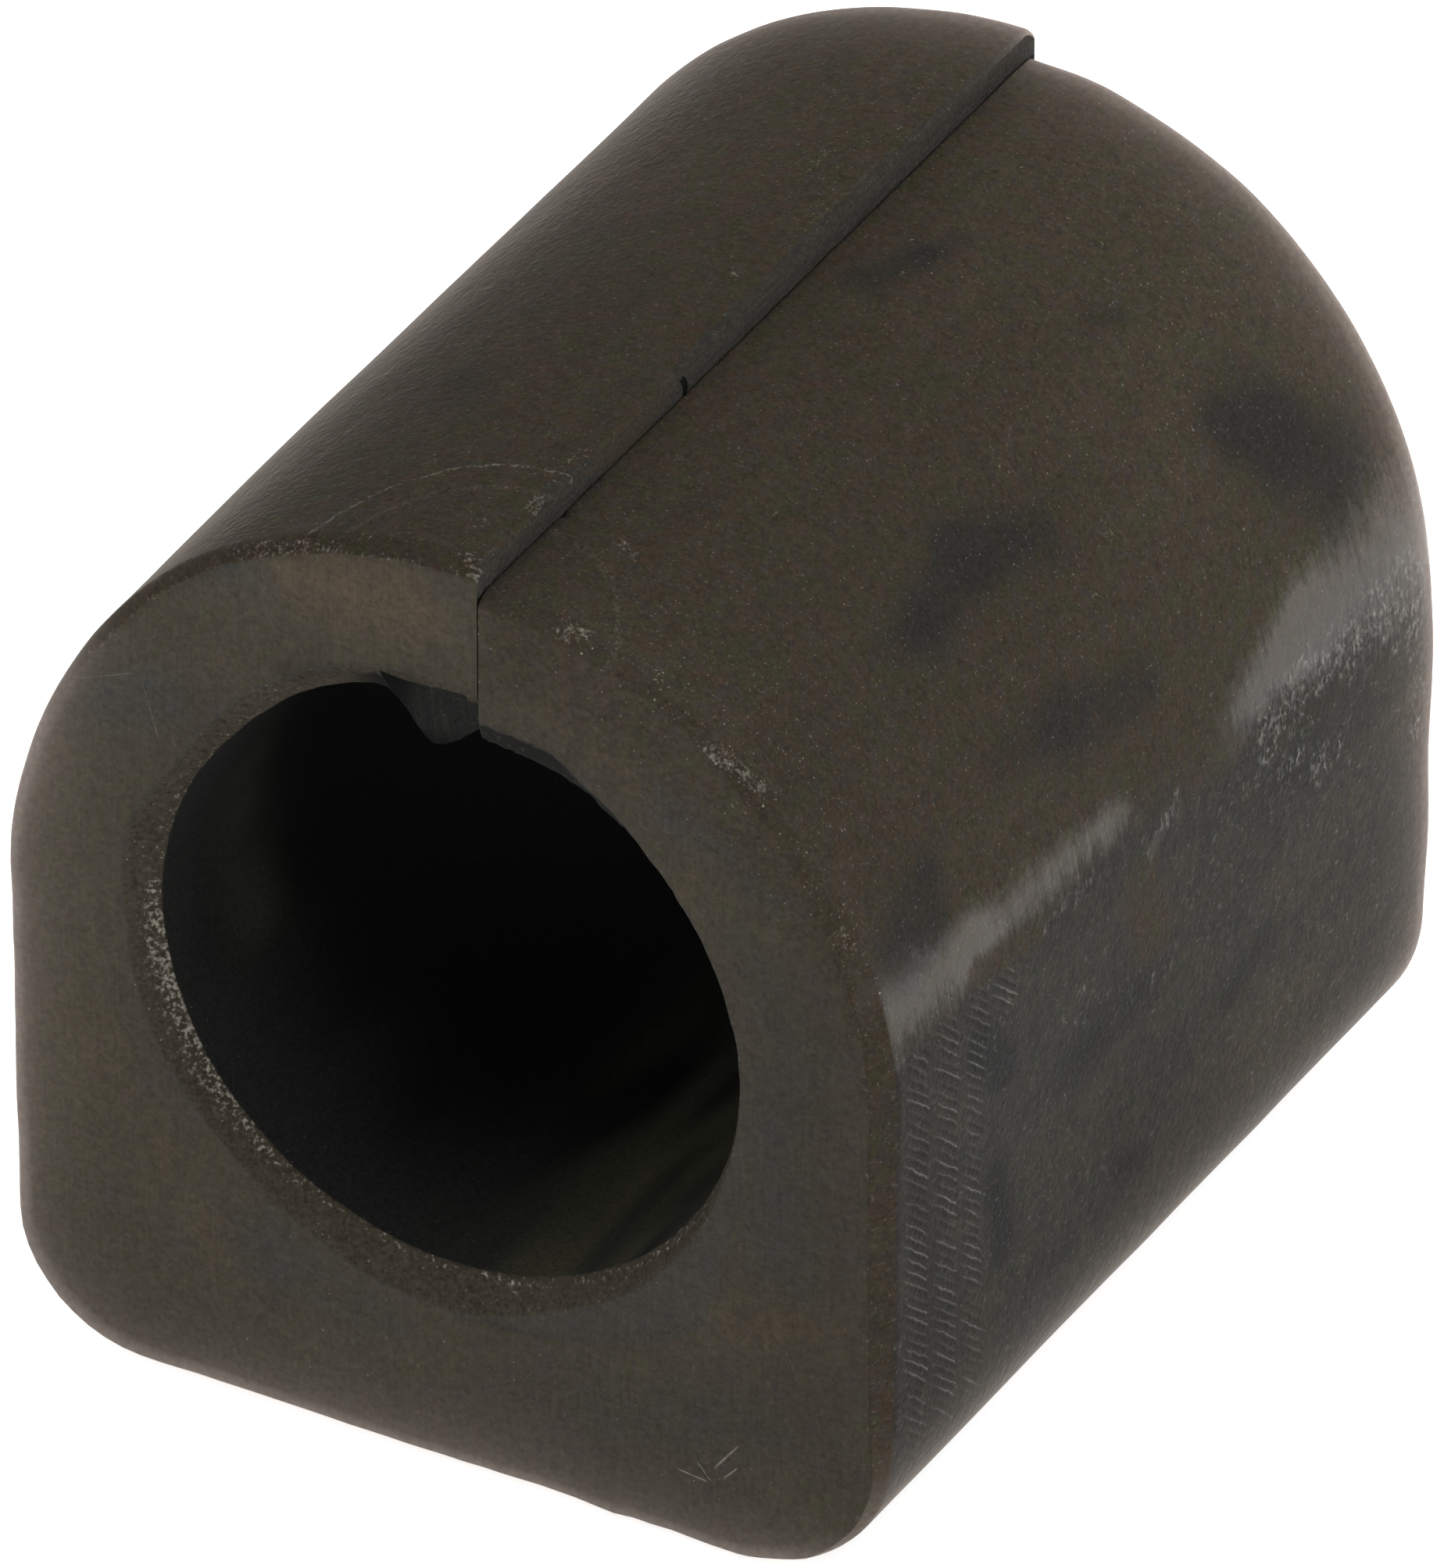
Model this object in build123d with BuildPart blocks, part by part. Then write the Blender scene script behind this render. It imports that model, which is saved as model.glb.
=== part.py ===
"""Sway bar bushing: one moulded rubber block, arched on top, bored through and slit open.

The bore runs along Y. Its axis is the origin, halfway along the length.
The block stands on its flat base, with the slit beside the crown of its dome.
"""

import os
from math import sqrt

from build123d import *

# Driving dimensions in millimetres
bore_radius = 15.0
body_width = 45.2
body_length = 51.8
axis_height = 25.6
base_corner_radius = 7.4

# The slit runs beside the crown, and the lip on its left stands proud of the sunken one
slit_offset = 1.75
slit_gap = 0.25
left_dome_growth = 0.9
right_dome_shrink = 0.2
lip_edge_radius = 0.7

# Worn bevel round the outline of both ends: depth in the end face and run along the side
bevel_depth = 0.8
bevel_run = 1.3

# Mouths of the bore: the near one is worn wider, and sits low and to the right of the bore
near_mouth_radius = 16.9
near_mouth_shift = 0.4
near_mouth_drop = 0.5
near_mouth_depth = 0.9
far_mouth_bevel = 0.9

# The dome is two arcs that leave the side walls at the height of the bore axis
half_width = body_width / 2
left_dome_radius = half_width + left_dome_growth
right_dome_radius = half_width - right_dome_shrink

section_plane = Plane.XZ
near_end = section_plane.offset(body_length / 2)


def left_dome_height(x):
    """Height of the left dome above the bore axis; its centre is left_dome_growth beside that axis."""
    return sqrt(left_dome_radius**2 - (x - left_dome_growth) ** 2)


def right_dome_height(x):
    """Height of the right dome above the bore axis; its centre is right_dome_shrink beside that axis."""
    return sqrt(right_dome_radius**2 - (x - right_dome_shrink) ** 2)


with BuildPart() as bushing:
    # Block: dome over straight walls, with rounded corners at the flat base
    with BuildSketch(section_plane) as section:
        with BuildLine() as outline:
            left_lip = (slit_offset, left_dome_height(slit_offset))
            right_lip = (slit_offset, right_dome_height(slit_offset))
            RadiusArc(left_lip, (-half_width, 0), -left_dome_radius)
            Line((-half_width, 0), (-half_width, -axis_height))
            Line((-half_width, -axis_height), (half_width, -axis_height))
            Line((half_width, -axis_height), (half_width, 0))
            RadiusArc((half_width, 0), right_lip, -right_dome_radius)
            lip_step = Line(right_lip, left_lip)
        make_face()
        fillet(section.vertices().group_by(Axis.Y)[0], base_corner_radius)
    extrude(amount=body_length / 2, both=True)

    # Worn bevel round the outline of each end, apart from the step between the lips
    for end in (0, -1):
        end_face = bushing.faces().sort_by(Axis.Y)[end]
        rim = end_face.edges().filter_by(lambda edge: edge.length > lip_step.length * 1.01)
        chamfer(rim, bevel_depth, bevel_run, reference=end_face)

    # Bore for the bar
    with Locations(near_end):
        Hole(bore_radius)

    # Far mouth of the bore: an even bevel
    far_face = bushing.faces().sort_by(Axis.Y)[-1]
    far_mouth = far_face.inner_wires()[0].edges()
    chamfer(far_mouth, far_mouth_bevel)

    # Near mouth of the bore: a slanting funnel, widest at the lower right of the end face
    with BuildSketch(near_end):
        with Locations((near_mouth_shift, -near_mouth_drop)):
            Circle(near_mouth_radius)
    with BuildSketch(near_end.offset(-near_mouth_depth)):
        Circle(bore_radius)
    loft(ruled=True, mode=Mode.SUBTRACT)

    # Slit from the bore to the outside, flared over the rounded edges of both lips
    left_wall = slit_offset - slit_gap / 2
    right_wall = slit_offset + slit_gap / 2
    left_shoulder = left_wall - lip_edge_radius
    right_shoulder = right_wall + lip_edge_radius
    left_top = (left_shoulder, left_dome_height(left_shoulder))
    right_top = (right_shoulder, right_dome_height(right_shoulder))
    left_foot = (left_wall, left_dome_height(left_shoulder) - lip_edge_radius)
    right_foot = (right_wall, right_dome_height(right_shoulder) - lip_edge_radius)
    above_dome = left_dome_radius + lip_edge_radius
    with BuildSketch(section_plane) as slit:
        with BuildLine() as slit_outline:
            Line((left_wall, 0), left_foot)
            RadiusArc(left_foot, left_top, -lip_edge_radius)
            Line(left_top, (left_shoulder, above_dome))
            Line((left_shoulder, above_dome), (right_shoulder, above_dome))
            Line((right_shoulder, above_dome), right_top)
            RadiusArc(right_top, right_foot, -lip_edge_radius)
            Line(right_foot, (right_wall, 0))
            Line((right_wall, 0), (left_wall, 0))
        make_face()
    extrude(amount=body_length / 2, both=True, mode=Mode.SUBTRACT)

bushing.part.label = "bushing"

os.makedirs("parts", exist_ok=True)
export_step(bushing.part, "parts/bushing.step")
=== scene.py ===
"""Worn sway bar bushing: a moulded rubber block, split beside its crown, on a pale studio floor.

The block is one closed skin, worked out with numpy as a surface of two parameters. One runs round the
arched outline from the left lip to the right lip. The other runs round the wall of the block: along the
outside, across the far end, back through the bore and out across the near end. Lengths are in
millimetres until a mesh is made, and in metres there. X is across the block, Y along the bore, Z up.
"""

import logging
from dataclasses import dataclass, field
from enum import IntEnum

import bpy
import numpy as np
from mathutils import Matrix, Vector


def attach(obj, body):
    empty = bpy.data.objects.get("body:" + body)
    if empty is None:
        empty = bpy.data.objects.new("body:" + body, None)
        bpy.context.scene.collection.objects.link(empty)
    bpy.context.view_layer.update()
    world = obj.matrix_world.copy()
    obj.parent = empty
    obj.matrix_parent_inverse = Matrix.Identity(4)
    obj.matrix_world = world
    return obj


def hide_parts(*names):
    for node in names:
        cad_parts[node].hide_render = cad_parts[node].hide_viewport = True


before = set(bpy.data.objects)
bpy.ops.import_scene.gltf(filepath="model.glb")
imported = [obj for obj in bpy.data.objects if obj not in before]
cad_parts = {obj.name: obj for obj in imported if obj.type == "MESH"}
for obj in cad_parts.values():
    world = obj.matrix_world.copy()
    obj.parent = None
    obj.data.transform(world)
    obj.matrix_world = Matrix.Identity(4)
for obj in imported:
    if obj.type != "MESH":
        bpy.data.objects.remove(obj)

log = logging.getLogger("bushing")

MM = 0.001

# Radii or widths by a place, values of the whole skin by name, and one colour
Table = tuple[tuple[float, float], ...]
Tables = dict[str, np.ndarray]
Tone = tuple[float, float, float]


# Number helpers


def smooth_step(values: np.ndarray, low: float, high: float) -> np.ndarray:
    """Rises from 0 at low to 1 at high along 3t² - 2t³, where t is the share of the way."""
    t = np.clip((np.asarray(values, float) - low) / (high - low), 0.0, 1.0)
    return t * t * (3 - 2 * t)


def bell(values: np.ndarray, middle: float, width: float) -> np.ndarray:
    """Hump of height 1 at the middle: exp(-((value - middle) / width)²)."""
    return np.exp(-(((np.asarray(values, float) - middle) / width) ** 2))


@dataclass(frozen=True)
class Waver:
    """Smooth uneven field over two coordinates: seeded values on a square lattice, blended."""

    seed: int
    size: int = 64

    def over(self, u: np.ndarray, v: np.ndarray) -> np.ndarray:
        """Worked out at places u, v, both counted in lattice steps.

        Args:
            u: First coordinates.
            v: Second coordinates, of the same shape.

        Returns:
            Values from -1 to 1: the four lattice values round each place, weighted by 3t² - 2t³.
        """
        lattice = np.random.default_rng(self.seed).uniform(-1, 1, (self.size, self.size))
        u, v = np.broadcast_arrays(np.asarray(u, float), np.asarray(v, float))
        i, j = np.floor(u).astype(int), np.floor(v).astype(int)
        s, t = smooth_step(u - i, 0, 1), smooth_step(v - j, 0, 1)
        i0, i1, j0, j1 = i % self.size, (i + 1) % self.size, j % self.size, (j + 1) % self.size
        near = lattice[i0, j0] * (1 - s) + lattice[i1, j0] * s
        far = lattice[i0, j1] * (1 - s) + lattice[i1, j1] * s
        return near * (1 - t) + far * t


# Shape of the block


@dataclass(frozen=True)
class Outline:
    """Section of the block: split dome, straight walls, and a flat base with rounded corners."""

    half_width: float = 22.6
    axis_height: float = 25.6
    left_corner: float = 6.4
    right_corner: float = 7.5
    slit_offset: float = 1.93
    slit_gap: float = 0.06
    left_growth: float = 0.9
    right_shrink: float = 0.2
    left_lip_round: float = 0.3
    right_lip_round: float = 0.08
    path_step: float = 0.04

    @property
    def left_wall(self) -> float:
        """Where the left wall of the slit stands."""
        return self.slit_offset - self.slit_gap / 2

    @property
    def right_wall(self) -> float:
        """Where the right wall of the slit stands."""
        return self.slit_offset + self.slit_gap / 2

    def _arc(self, centre: tuple[float, float], radius: float, start: float, end: float) -> tuple:
        """Closely spaced points of an arc, with the directions that point away from its centre."""
        count = max(int(abs(np.radians(end - start)) * radius / self.path_step), 12)
        angle = np.radians(np.linspace(start, end, count))
        away = np.stack([np.cos(angle), np.sin(angle)], 1)
        return np.asarray(centre) + radius * away, away

    def _run(self, start: tuple, end: tuple, away: tuple) -> tuple:
        """Closely spaced points of a straight run, with the direction that points away from the block."""
        start, end = np.asarray(start, float), np.asarray(end, float)
        share = np.linspace(0, 1, max(int(np.hypot(*(end - start)) / self.path_step), 2))[:, None]
        return start + share * (end - start), np.repeat([away], len(share), 0).astype(float)

    def path(self) -> tuple[np.ndarray, np.ndarray, np.ndarray]:
        """Outline from the slit's left wall, over the left dome and round the base, to its right wall.

        Each lip turns from the slit's upright wall into its dome along a small arc. There the outward
        direction swings from straight up to the dome's own, so that an inset keeps the wall flat.

        Returns:
            The points as (x, z), their outward directions, and the length run to each from the left wall.
        """
        w, h, l, r = self.half_width, self.axis_height, self.left_corner, self.right_corner
        left_radius, right_radius = w + self.left_growth, w - self.right_shrink
        a, b = self.left_lip_round, self.right_lip_round
        left_turn = np.degrees(np.arccos((self.left_wall - a - self.left_growth) / left_radius))
        right_turn = np.degrees(np.arccos((self.right_wall + b - self.right_shrink) / right_radius))
        left_top = left_radius * np.sin(np.radians(left_turn))
        right_top = right_radius * np.sin(np.radians(right_turn))
        left_lip = self._arc((self.left_wall - a, left_top - a), a, 0, 90)
        right_lip = self._arc((self.right_wall + b, right_top - b), b, 90, 180)
        left_dome = self._arc((self.left_growth, 0), left_radius, left_turn, 180)
        right_dome = self._arc((self.right_shrink, 0), right_radius, 0, right_turn)
        left_share = np.linspace(0, 1, len(left_lip[0]))[:, None]
        right_share = np.linspace(1, 0, len(right_lip[0]))[:, None]
        left_lip = left_lip[0], (1 - left_share) * [0, 1] + left_share * left_dome[1][0]
        right_lip = right_lip[0], (1 - right_share) * [0, 1] + right_share * right_dome[1][-1]
        pieces = [
            left_lip,
            left_dome,
            self._run((-w, 0), (-w, l - h), (-1, 0)),
            self._arc((l - w, l - h), l, 180, 270),
            self._run((l - w, -h), (w - r, -h), (0, -1)),
            self._arc((w - r, r - h), r, -90, 0),
            self._run((w, r - h), (w, 0), (1, 0)),
            right_dome,
            right_lip,
        ]
        points = np.concatenate([pieces[0][0]] + [p[0][1:] for p in pieces[1:]])
        away = np.concatenate([pieces[0][1]] + [p[1][1:] for p in pieces[1:]])
        away /= np.linalg.norm(away, axis=1)[:, None]
        run = np.concatenate([[0.0], np.cumsum(np.linalg.norm(np.diff(points, axis=0), axis=1))])
        return points, away, run

    def stations(self) -> Tables:
        """Places round the outline where the skin has its lines, closer together where it has detail.

        Returns:
            x, z, their outward directions out_x and out_z, the girth from each lip, and the angle about
            the bore in degrees, which grows from about 86 at the left lip to about 445 at the right.
        """
        points, away, run = self.path()
        total = run[-1]
        left, right = run, total - run
        # Millimetres from one line to the next, least beside the slit and on the right dome and flank
        spacing = np.full(len(run), 1.0)
        spacing[left < 40] = 0.55
        spacing[right < 64] = 0.6
        spacing[right < 52] = 0.4
        spacing = np.minimum(spacing, 0.08 + 0.1 * np.minimum(left, right))
        count = np.concatenate([[0.0], np.cumsum(np.diff(run) * 2 / (spacing[1:] + spacing[:-1]))])
        at = np.interp(np.linspace(0, count[-1], int(round(count[-1])) + 1), count, run)
        x, z = np.interp(at, run, points[:, 0]), np.interp(at, run, points[:, 1])
        out_x, out_z = np.interp(at, run, away[:, 0]), np.interp(at, run, away[:, 1])
        size = np.hypot(out_x, out_z)
        angle = np.degrees(np.unwrap(np.arctan2(z, x)))
        return {
            "x": x,
            "z": z,
            "out_x": out_x / size,
            "out_z": out_z / size,
            "left": at,
            "right": total - at,
            "angle": angle,
        }


@dataclass(frozen=True)
class WornMouth:
    """Near mouth of the bore: a slanting band worn into the end face, and a shallow crescent below it.

    Its tables hold radii by the angle about the bore, in degrees from the right and upwards.
    """

    bore_radius: float = 15.0
    depth: float = 0.8
    slit_turn: float = 85.1
    band: Table = (
        (20, 15.35), (40, 15.35), (50, 15.4), (58, 15.55), (65, 15.65), (71, 16.0), (79, 15.7),
        (84.9, 15.55), (85.3, 17.0), (93, 17.05), (107, 17.1), (120, 16.7), (131, 16.4), (150, 15.9),
        (160, 16.3), (167, 16.75), (176, 16.7), (188, 16.5), (199, 16.7), (212, 16.7), (229, 16.6),
        (246, 16.8), (260, 17.1), (277, 17.15), (289, 16.5), (305, 16.25), (316, 16.05), (331, 15.6),
        (346, 15.4),
    )
    inner: Table = (
        (40, 15.0), (50, 15.1), (59, 15.15), (69, 15.1), (78, 14.7), (84.9, 14.6), (85.3, 14.9),
        (88, 14.3), (91, 13.6), (95, 13.1), (98, 13.0), (100, 13.7), (102, 14.8), (104, 15.5),
        (107, 15.7), (118, 15.6), (124, 15.45), (131, 15.2), (142, 15.0),
    )
    crescent: Table = (
        (265, 17.1), (274, 17.3), (280, 17.45), (288, 17.7), (301, 18.35), (309, 18.95), (315, 19.1),
        (322, 18.2), (329, 17.2), (345, 16.4), (356, 15.5),
    )
    crescent_depth: float = 0.11

    def _around(self, table: Table, angle: np.ndarray) -> np.ndarray:
        """Radius at an angle in degrees, read from a table of places that closes on itself."""
        places = np.array(table)
        return np.interp(np.mod(angle, 360), places[:, 0], places[:, 1], period=360)

    def band_radius(self, angle: np.ndarray) -> np.ndarray:
        """Outer radius of the worn band, with the fine unevenness of a hand-cut edge."""
        uneven = 0.05 * Waver(11).over(angle / 7, 0) + 0.03 * Waver(12).over(angle / 2.2, 0)
        return self._around(self.band, angle) + uneven

    def _beside_slit(self, angle: np.ndarray) -> np.ndarray:
        """1 right of the slit, where the mouth is hardly worn, and 0 left of it and below."""
        turn = np.mod(angle, 360)
        return smooth_step(turn, 10, 40) * (turn < self.slit_turn)

    def inner_radius(self, angle: np.ndarray) -> np.ndarray:
        """Radius of the bore at its mouth, scooped out left of the slit and frayed right of it."""
        turn = 0 * angle
        frayed = 0.09 * Waver(42).over(angle / 2.1, turn) + 0.05 * Waver(43).over(angle / 1.1, turn)
        return self._around(self.inner, angle) + frayed * (0.25 + 0.75 * self._beside_slit(angle))

    def worn_depth(self, angle: np.ndarray) -> np.ndarray:
        """How deep the worn band goes into the bore, with the unevenness of wear."""
        even = self.depth * (1 - 0.62 * self._beside_slit(angle))
        return even + 0.05 * Waver(41).over(angle / 12, 0 * angle)

    def crescent_radius(self, angle: np.ndarray) -> np.ndarray:
        """Outer radius of the shallow crescent, or the band's own radius where there is none."""
        turn = np.mod(angle, 360)
        low = smooth_step(turn, 258, 268) * (1 - smooth_step(turn, 345, 357))
        wide = self._around(self.crescent, angle)
        return np.maximum(self.band_radius(angle) + 0.12, low * wide + (1 - low) * 15.0)


@dataclass(frozen=True)
class Rub:
    """One soft mark on a surface: a stroke between two places, with a reach at each end.

    The places are in the surface's own two coordinates. On the outside they are the distance from the
    near end and the girth from the slit, and on the near end they are x and z.
    """

    start: tuple[float, float]
    end: tuple[float, float]
    reach: tuple[float, float]
    strength: float = 1.0

    def over(self, u: np.ndarray, v: np.ndarray) -> np.ndarray:
        """Strength at places u, v: a bell of the distance to the stroke over its reach there.

        Args:
            u: First coordinates.
            v: Second coordinates.

        Returns:
            strength × exp(-(distance / reach)²), where the reach changes evenly along the stroke.
        """
        run_u, run_v = self.end[0] - self.start[0], self.end[1] - self.start[1]
        from_u, from_v = u - self.start[0], v - self.start[1]
        share = (from_u * run_u + from_v * run_v) / max(run_u**2 + run_v**2, 1e-6)
        share = np.clip(share, 0, 1)
        away = np.hypot(from_u - share * run_u, from_v - share * run_v)
        reach = self.reach[0] + share * (self.reach[1] - self.reach[0])
        return self.strength * np.exp(-((away / reach) ** 2))


def rubbed(marks: tuple[Rub, ...], u: np.ndarray, v: np.ndarray) -> np.ndarray:
    """All the marks together: their strengths added up at places u, v."""
    total = np.zeros(np.broadcast(u, v).shape)
    for mark in marks:
        total = total + mark.over(u, v)
    return total


def rubs(*rows: tuple[float, float, float, float, float, float, float]) -> tuple[Rub, ...]:
    """Marks from rows that each hold a mark's start, its end, its two reaches and its strength."""
    return tuple(Rub(row[0:2], row[2:4], row[4:6], row[6]) for row in rows)


@dataclass(frozen=True)
class Marks:
    """The marks on each surface: right and left of the slit, and on the near end."""

    right: tuple[Rub, ...] = ()
    left: tuple[Rub, ...] = ()
    near: tuple[Rub, ...] = ()


@dataclass(frozen=True)
class Wear:
    """Where the block is rubbed, polished, scuffed and creased, and where light and shade are painted on
    it.

    The row of a mark holds the places of its start and its end, its reach at each, and its strength.
    rings holds the centre and radius of the circle scratched on the left dome and of that on the right.
    bare_lip holds the width of the bare strip along the left lip, by the distance from the near end.
    """

    smudges_and_slit_shade: Marks = Marks(
        right=rubs(
            (31.2, 2.5, 34.8, 3.8, 1.2, 0.8, 0.75), (34.5, 3.4, 37.0, 4.4, 0.8, 0.7, 0.55),
            (37.6, 11.0, 39.2, 12.0, 0.8, 0.7, 0.6), (40.0, 18.8, 43.5, 20.4, 1.7, 1.9, 1.5),
            (41.5, 22.4, 45.0, 23.6, 1.9, 2.1, 0.85), (42.5, 16.6, 43.5, 17.5, 1.0, 0.9, 0.4),
            (47.0, 25.0, 44.0, 26.4, 1.7, 1.7, 0.65), (48.5, 21.0, 47.5, 24.0, 1.5, 1.5, 0.3),
            (21.0, 14.4, 25.5, 16.6, 2.0, 1.6, 0.85), (15.4, 15.6, 20.0, 15.0, 1.8, 1.9, 0.8),
            (12.5, 15.0, 15.5, 15.6, 1.4, 1.6, 0.35), (20.5, 23.6, 26.5, 25.2, 2.3, 1.9, 0.85),
            (15.0, 22.4, 20.0, 23.4, 1.5, 1.7, 0.5), (2.6, 26.0, 7.2, 24.4, 1.9, 1.4, 1.05),
            (3.8, 27.4, 7.2, 26.6, 1.0, 0.9, 0.7), (9.6, 3.6, 14.0, 5.4, 0.9, 0.9, 0.3),
            # The last two marks, along the slit at girth 0, are painted shade beside the slit.
            (24.5, 47.6, 22.5, 50.2, 0.8, 0.7, 0.45), (0.8, 0.0, 11.0, 0.0, 0.6, 0.5, 0.75),
            (11.0, 0.0, 51.0, 0.0, 0.35, 0.35, 0.35),
        ),
        left=rubs(
            (29.5, 11.6, 31.0, 5.8, 1.5, 1.2, 0.4), (15.6, 9.8, 13.6, 8.4, 1.5, 1.4, 0.6),
            (20.0, 4.6, 26.0, 5.4, 1.2, 1.4, 0.25),
        ),
    )
    scuffs: Marks = Marks(
        right=rubs(
            (7.2, 3.3, 6.8, 4.2, 0.32, 0.28, 1.0), (0.3, 4.4, 0.8, 5.2, 0.45, 0.4, 1.0),
            (0.1, 12.8, 0.9, 15.8, 0.6, 0.5, 0.9), (0.5, 23.2, 1.0, 24.8, 0.6, 0.4, 0.5),
            (4.6, 2.4, 5.8, 0.8, 0.5, 0.4, 0.35), (14.4, 2.2, 14.8, 2.4, 0.25, 0.25, 0.7),
            (8.2, 29.9, 8.8, 29.9, 0.2, 0.2, 0.5),
        ),
        left=rubs(
            (0.2, 0.2, 1.0, 1.2, 0.5, 0.45, 0.8), (5.6, 0.5, 6.6, 0.6, 0.5, 0.4, 0.8),
            (7.8, 0.9, 11.0, 0.8, 0.5, 0.4, 0.55), (36.0, 3.2, 38.6, 3.6, 0.5, 0.4, 0.5),
            (14.6, 7.2, 15.2, 6.9, 0.25, 0.2, 0.8), (26.6, 2.0, 27.0, 1.6, 0.22, 0.2, 0.9),
            (27.6, 3.6, 28.0, 3.2, 0.4, 0.3, 0.5), (0.2, 8.0, 0.5, 14.0, 0.4, 0.4, 0.6),
        ),
        near=rubs(
            (2.9, -14.9, 5.6, -16.1, 0.7, 0.5, 0.6),
        ),
    )
    grit: Marks = Marks(
        right=rubs(
            (0.0, 2.0, 0.0, 27.0, 2.2, 2.6, 0.5), (3.0, 10.0, 4.0, 18.0, 2.5, 2.5, 0.35),
            (20.0, 19.0, 50.0, 12.0, 3.5, 4.0, 0.15), (26.0, 30.0, 31.0, 30.0, 2.0, 2.0, -0.2),
        ),
        left=rubs(
            (0.0, 0.5, 0.0, 10.0, 2.0, 2.0, 0.3), (34.0, 2.0, 39.0, 2.5, 1.6, 1.6, 0.45),
        ),
        near=rubs(
            (-10.0, -20.0, 14.0, -20.0, 5.0, 5.0, 0.2),
        ),
    )
    # Patches of tone; lightening at the far end and the near end's left and lower edges is painted light.
    light: Marks = Marks(
        right=rubs(
            (46.0, 8.0, 40.0, 16.0, 16.0, 10.0, 0.22), (0.0, 2.0, 2.0, 12.0, 3.0, 3.0, 0.06),
            (2.5, 16.0, 4.5, 21.0, 3.0, 3.0, -0.08), (47.0, 40.0, 36.0, 46.0, 9.0, 7.0, 0.24),
            (50.0, 30.0, 50.2, 46.0, 2.2, 2.2, 0.22), (3.5, 34.0, 4.5, 50.0, 3.0, 3.0, -0.2),
            (24.0, 46.0, 34.0, 50.0, 5.0, 4.0, -0.14), (40.0, 18.8, 45.0, 22.5, 2.2, 2.2, -0.16),
            (6.0, 49.0, 22.0, 49.0, 6.0, 5.0, -0.12),
        ),
        left=rubs(
            (46.0, 6.0, 34.0, 10.0, 10.0, 8.0, 0.14), (2.0, 10.0, 16.0, 14.0, 6.0, 8.0, -0.08),
        ),
        near=rubs(
            (-6.5, 20.0, 0.0, 20.4, 3.0, 2.4, 0.22), (-17.0, 13.0, -10.0, 19.0, 3.0, 3.0, 0.16),
            (-21.0, 4.0, -21.0, -14.0, 4.0, 4.5, 0.16), (-16.0, -20.0, 0.0, -24.0, 5.0, 3.0, 0.08),
            (18.5, 6.0, 19.5, -16.0, 3.5, 4.5, -0.14), (9.0, -18.6, 15.0, -18.0, 3.0, 2.5, -0.06),
            (-8.0, 14.9, -1.4, 16.6, 0.7, 0.5, -0.25), (3.4, 15.2, 6.6, 14.4, 0.4, 0.5, -0.2),
        ),
    )
    polish: tuple[Rub, ...] = rubs(
        (0.6, 28.0, 9.0, 28.7, 2.1, 1.5, 1.0), (9.0, 28.5, 22.4, 29.3, 1.35, 1.2, 0.82),
        (32.2, 30.2, 40.0, 29.3, 1.4, 2.2, 1.0), (40.0, 29.4, 50.5, 30.0, 2.3, 4.3, 1.05),
        (24.5, 32.6, 27.0, 31.6, 0.8, 0.6, 0.45),
    )
    creases: tuple[Rub, ...] = rubs(
        (35.5, 31.6, 49.0, 32.0, 1.2, 2.2, 1.0), (35.0, 33.6, 41.0, 37.0, 1.8, 2.0, 0.62),
        (49.2, 33.0, 49.6, 41.0, 0.7, 0.7, 0.7), (24.5, 32.4, 27.5, 31.0, 1.0, 0.8, 0.6),
        (15.0, 31.2, 20.0, 30.8, 0.7, 0.6, 0.6), (18.0, 37.6, 26.0, 39.0, 2.4, 2.6, 0.35),
    )
    dust_streaks: tuple[Rub, ...] = rubs(
        (8.8, 29.9, 14.5, 31.0, 0.9, 0.7, 0.95), (24.2, 33.2, 26.0, 38.0, 1.2, 1.5, 0.75),
        (24.0, 27.6, 31.2, 30.2, 2.3, 2.7, 0.85), (22.5, 33.5, 23.5, 37.5, 1.2, 1.6, 0.6),
    )
    warm: Marks = Marks(
        right=rubs(
            (40.0, 49.0, 24.0, 50.5, 3.0, 2.0, 0.5),
        ),
        near=rubs(
            (-7.0, 19.8, -1.5, 20.6, 2.0, 2.2, 0.9), (15.0, -12.9, 20.5, -11.0, 1.8, 1.6, 0.65),
            (6.0, 17.2, 10.5, 14.4, 1.5, 1.2, 0.6), (12.5, 9.6, 14.8, 12.4, 1.2, 1.2, 0.4),
            (-17.5, -8.0, -12.0, -17.0, 3.2, 3.2, 0.4),
        ),
    )
    cool: Marks = Marks(
        right=rubs(
            (8.6, 33.6, 11.0, 36.2, 1.2, 1.3, 1.6), (10.2, 41.5, 11.2, 46.0, 1.3, 1.4, 1.0),
            (3.0, 37.0, 4.0, 44.0, 1.5, 1.5, 0.5), (17.5, 40.0, 24.0, 39.0, 2.0, 2.4, 0.7),
            (32.0, 44.5, 35.5, 43.8, 1.6, 1.7, 0.5), (35.5, 35.6, 44.0, 35.8, 2.4, 3.0, 0.45),
            (22.0, 48.5, 24.5, 49.5, 0.9, 1.1, 0.8), (14.0, 49.6, 17.5, 50.0, 1.2, 1.0, 0.5),
        ),
        near=rubs(
            (-17.4, 10.2, -15.0, 11.4, 1.8, 1.8, 0.8), (-11.5, -15.5, -4.0, -18.8, 2.0, 1.8, 0.6),
            (11.4, 14.6, 17.2, 11.0, 1.2, 1.2, 0.7), (15.8, 8.0, 18.6, 3.0, 1.8, 2.0, 0.45),
            (17.0, 0.0, 17.6, -9.0, 2.0, 2.2, 0.5), (9.0, -19.0, 16.0, -18.5, 2.8, 2.4, 0.45),
            (-12.6, 19.2, -10.0, 19.8, 1.4, 1.2, 0.5),
        ),
    )
    rings: tuple[tuple[float, float, float], ...] = ((-0.4, 0.3, 9.1), (-1.5, -0.8, 7.9))
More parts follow.
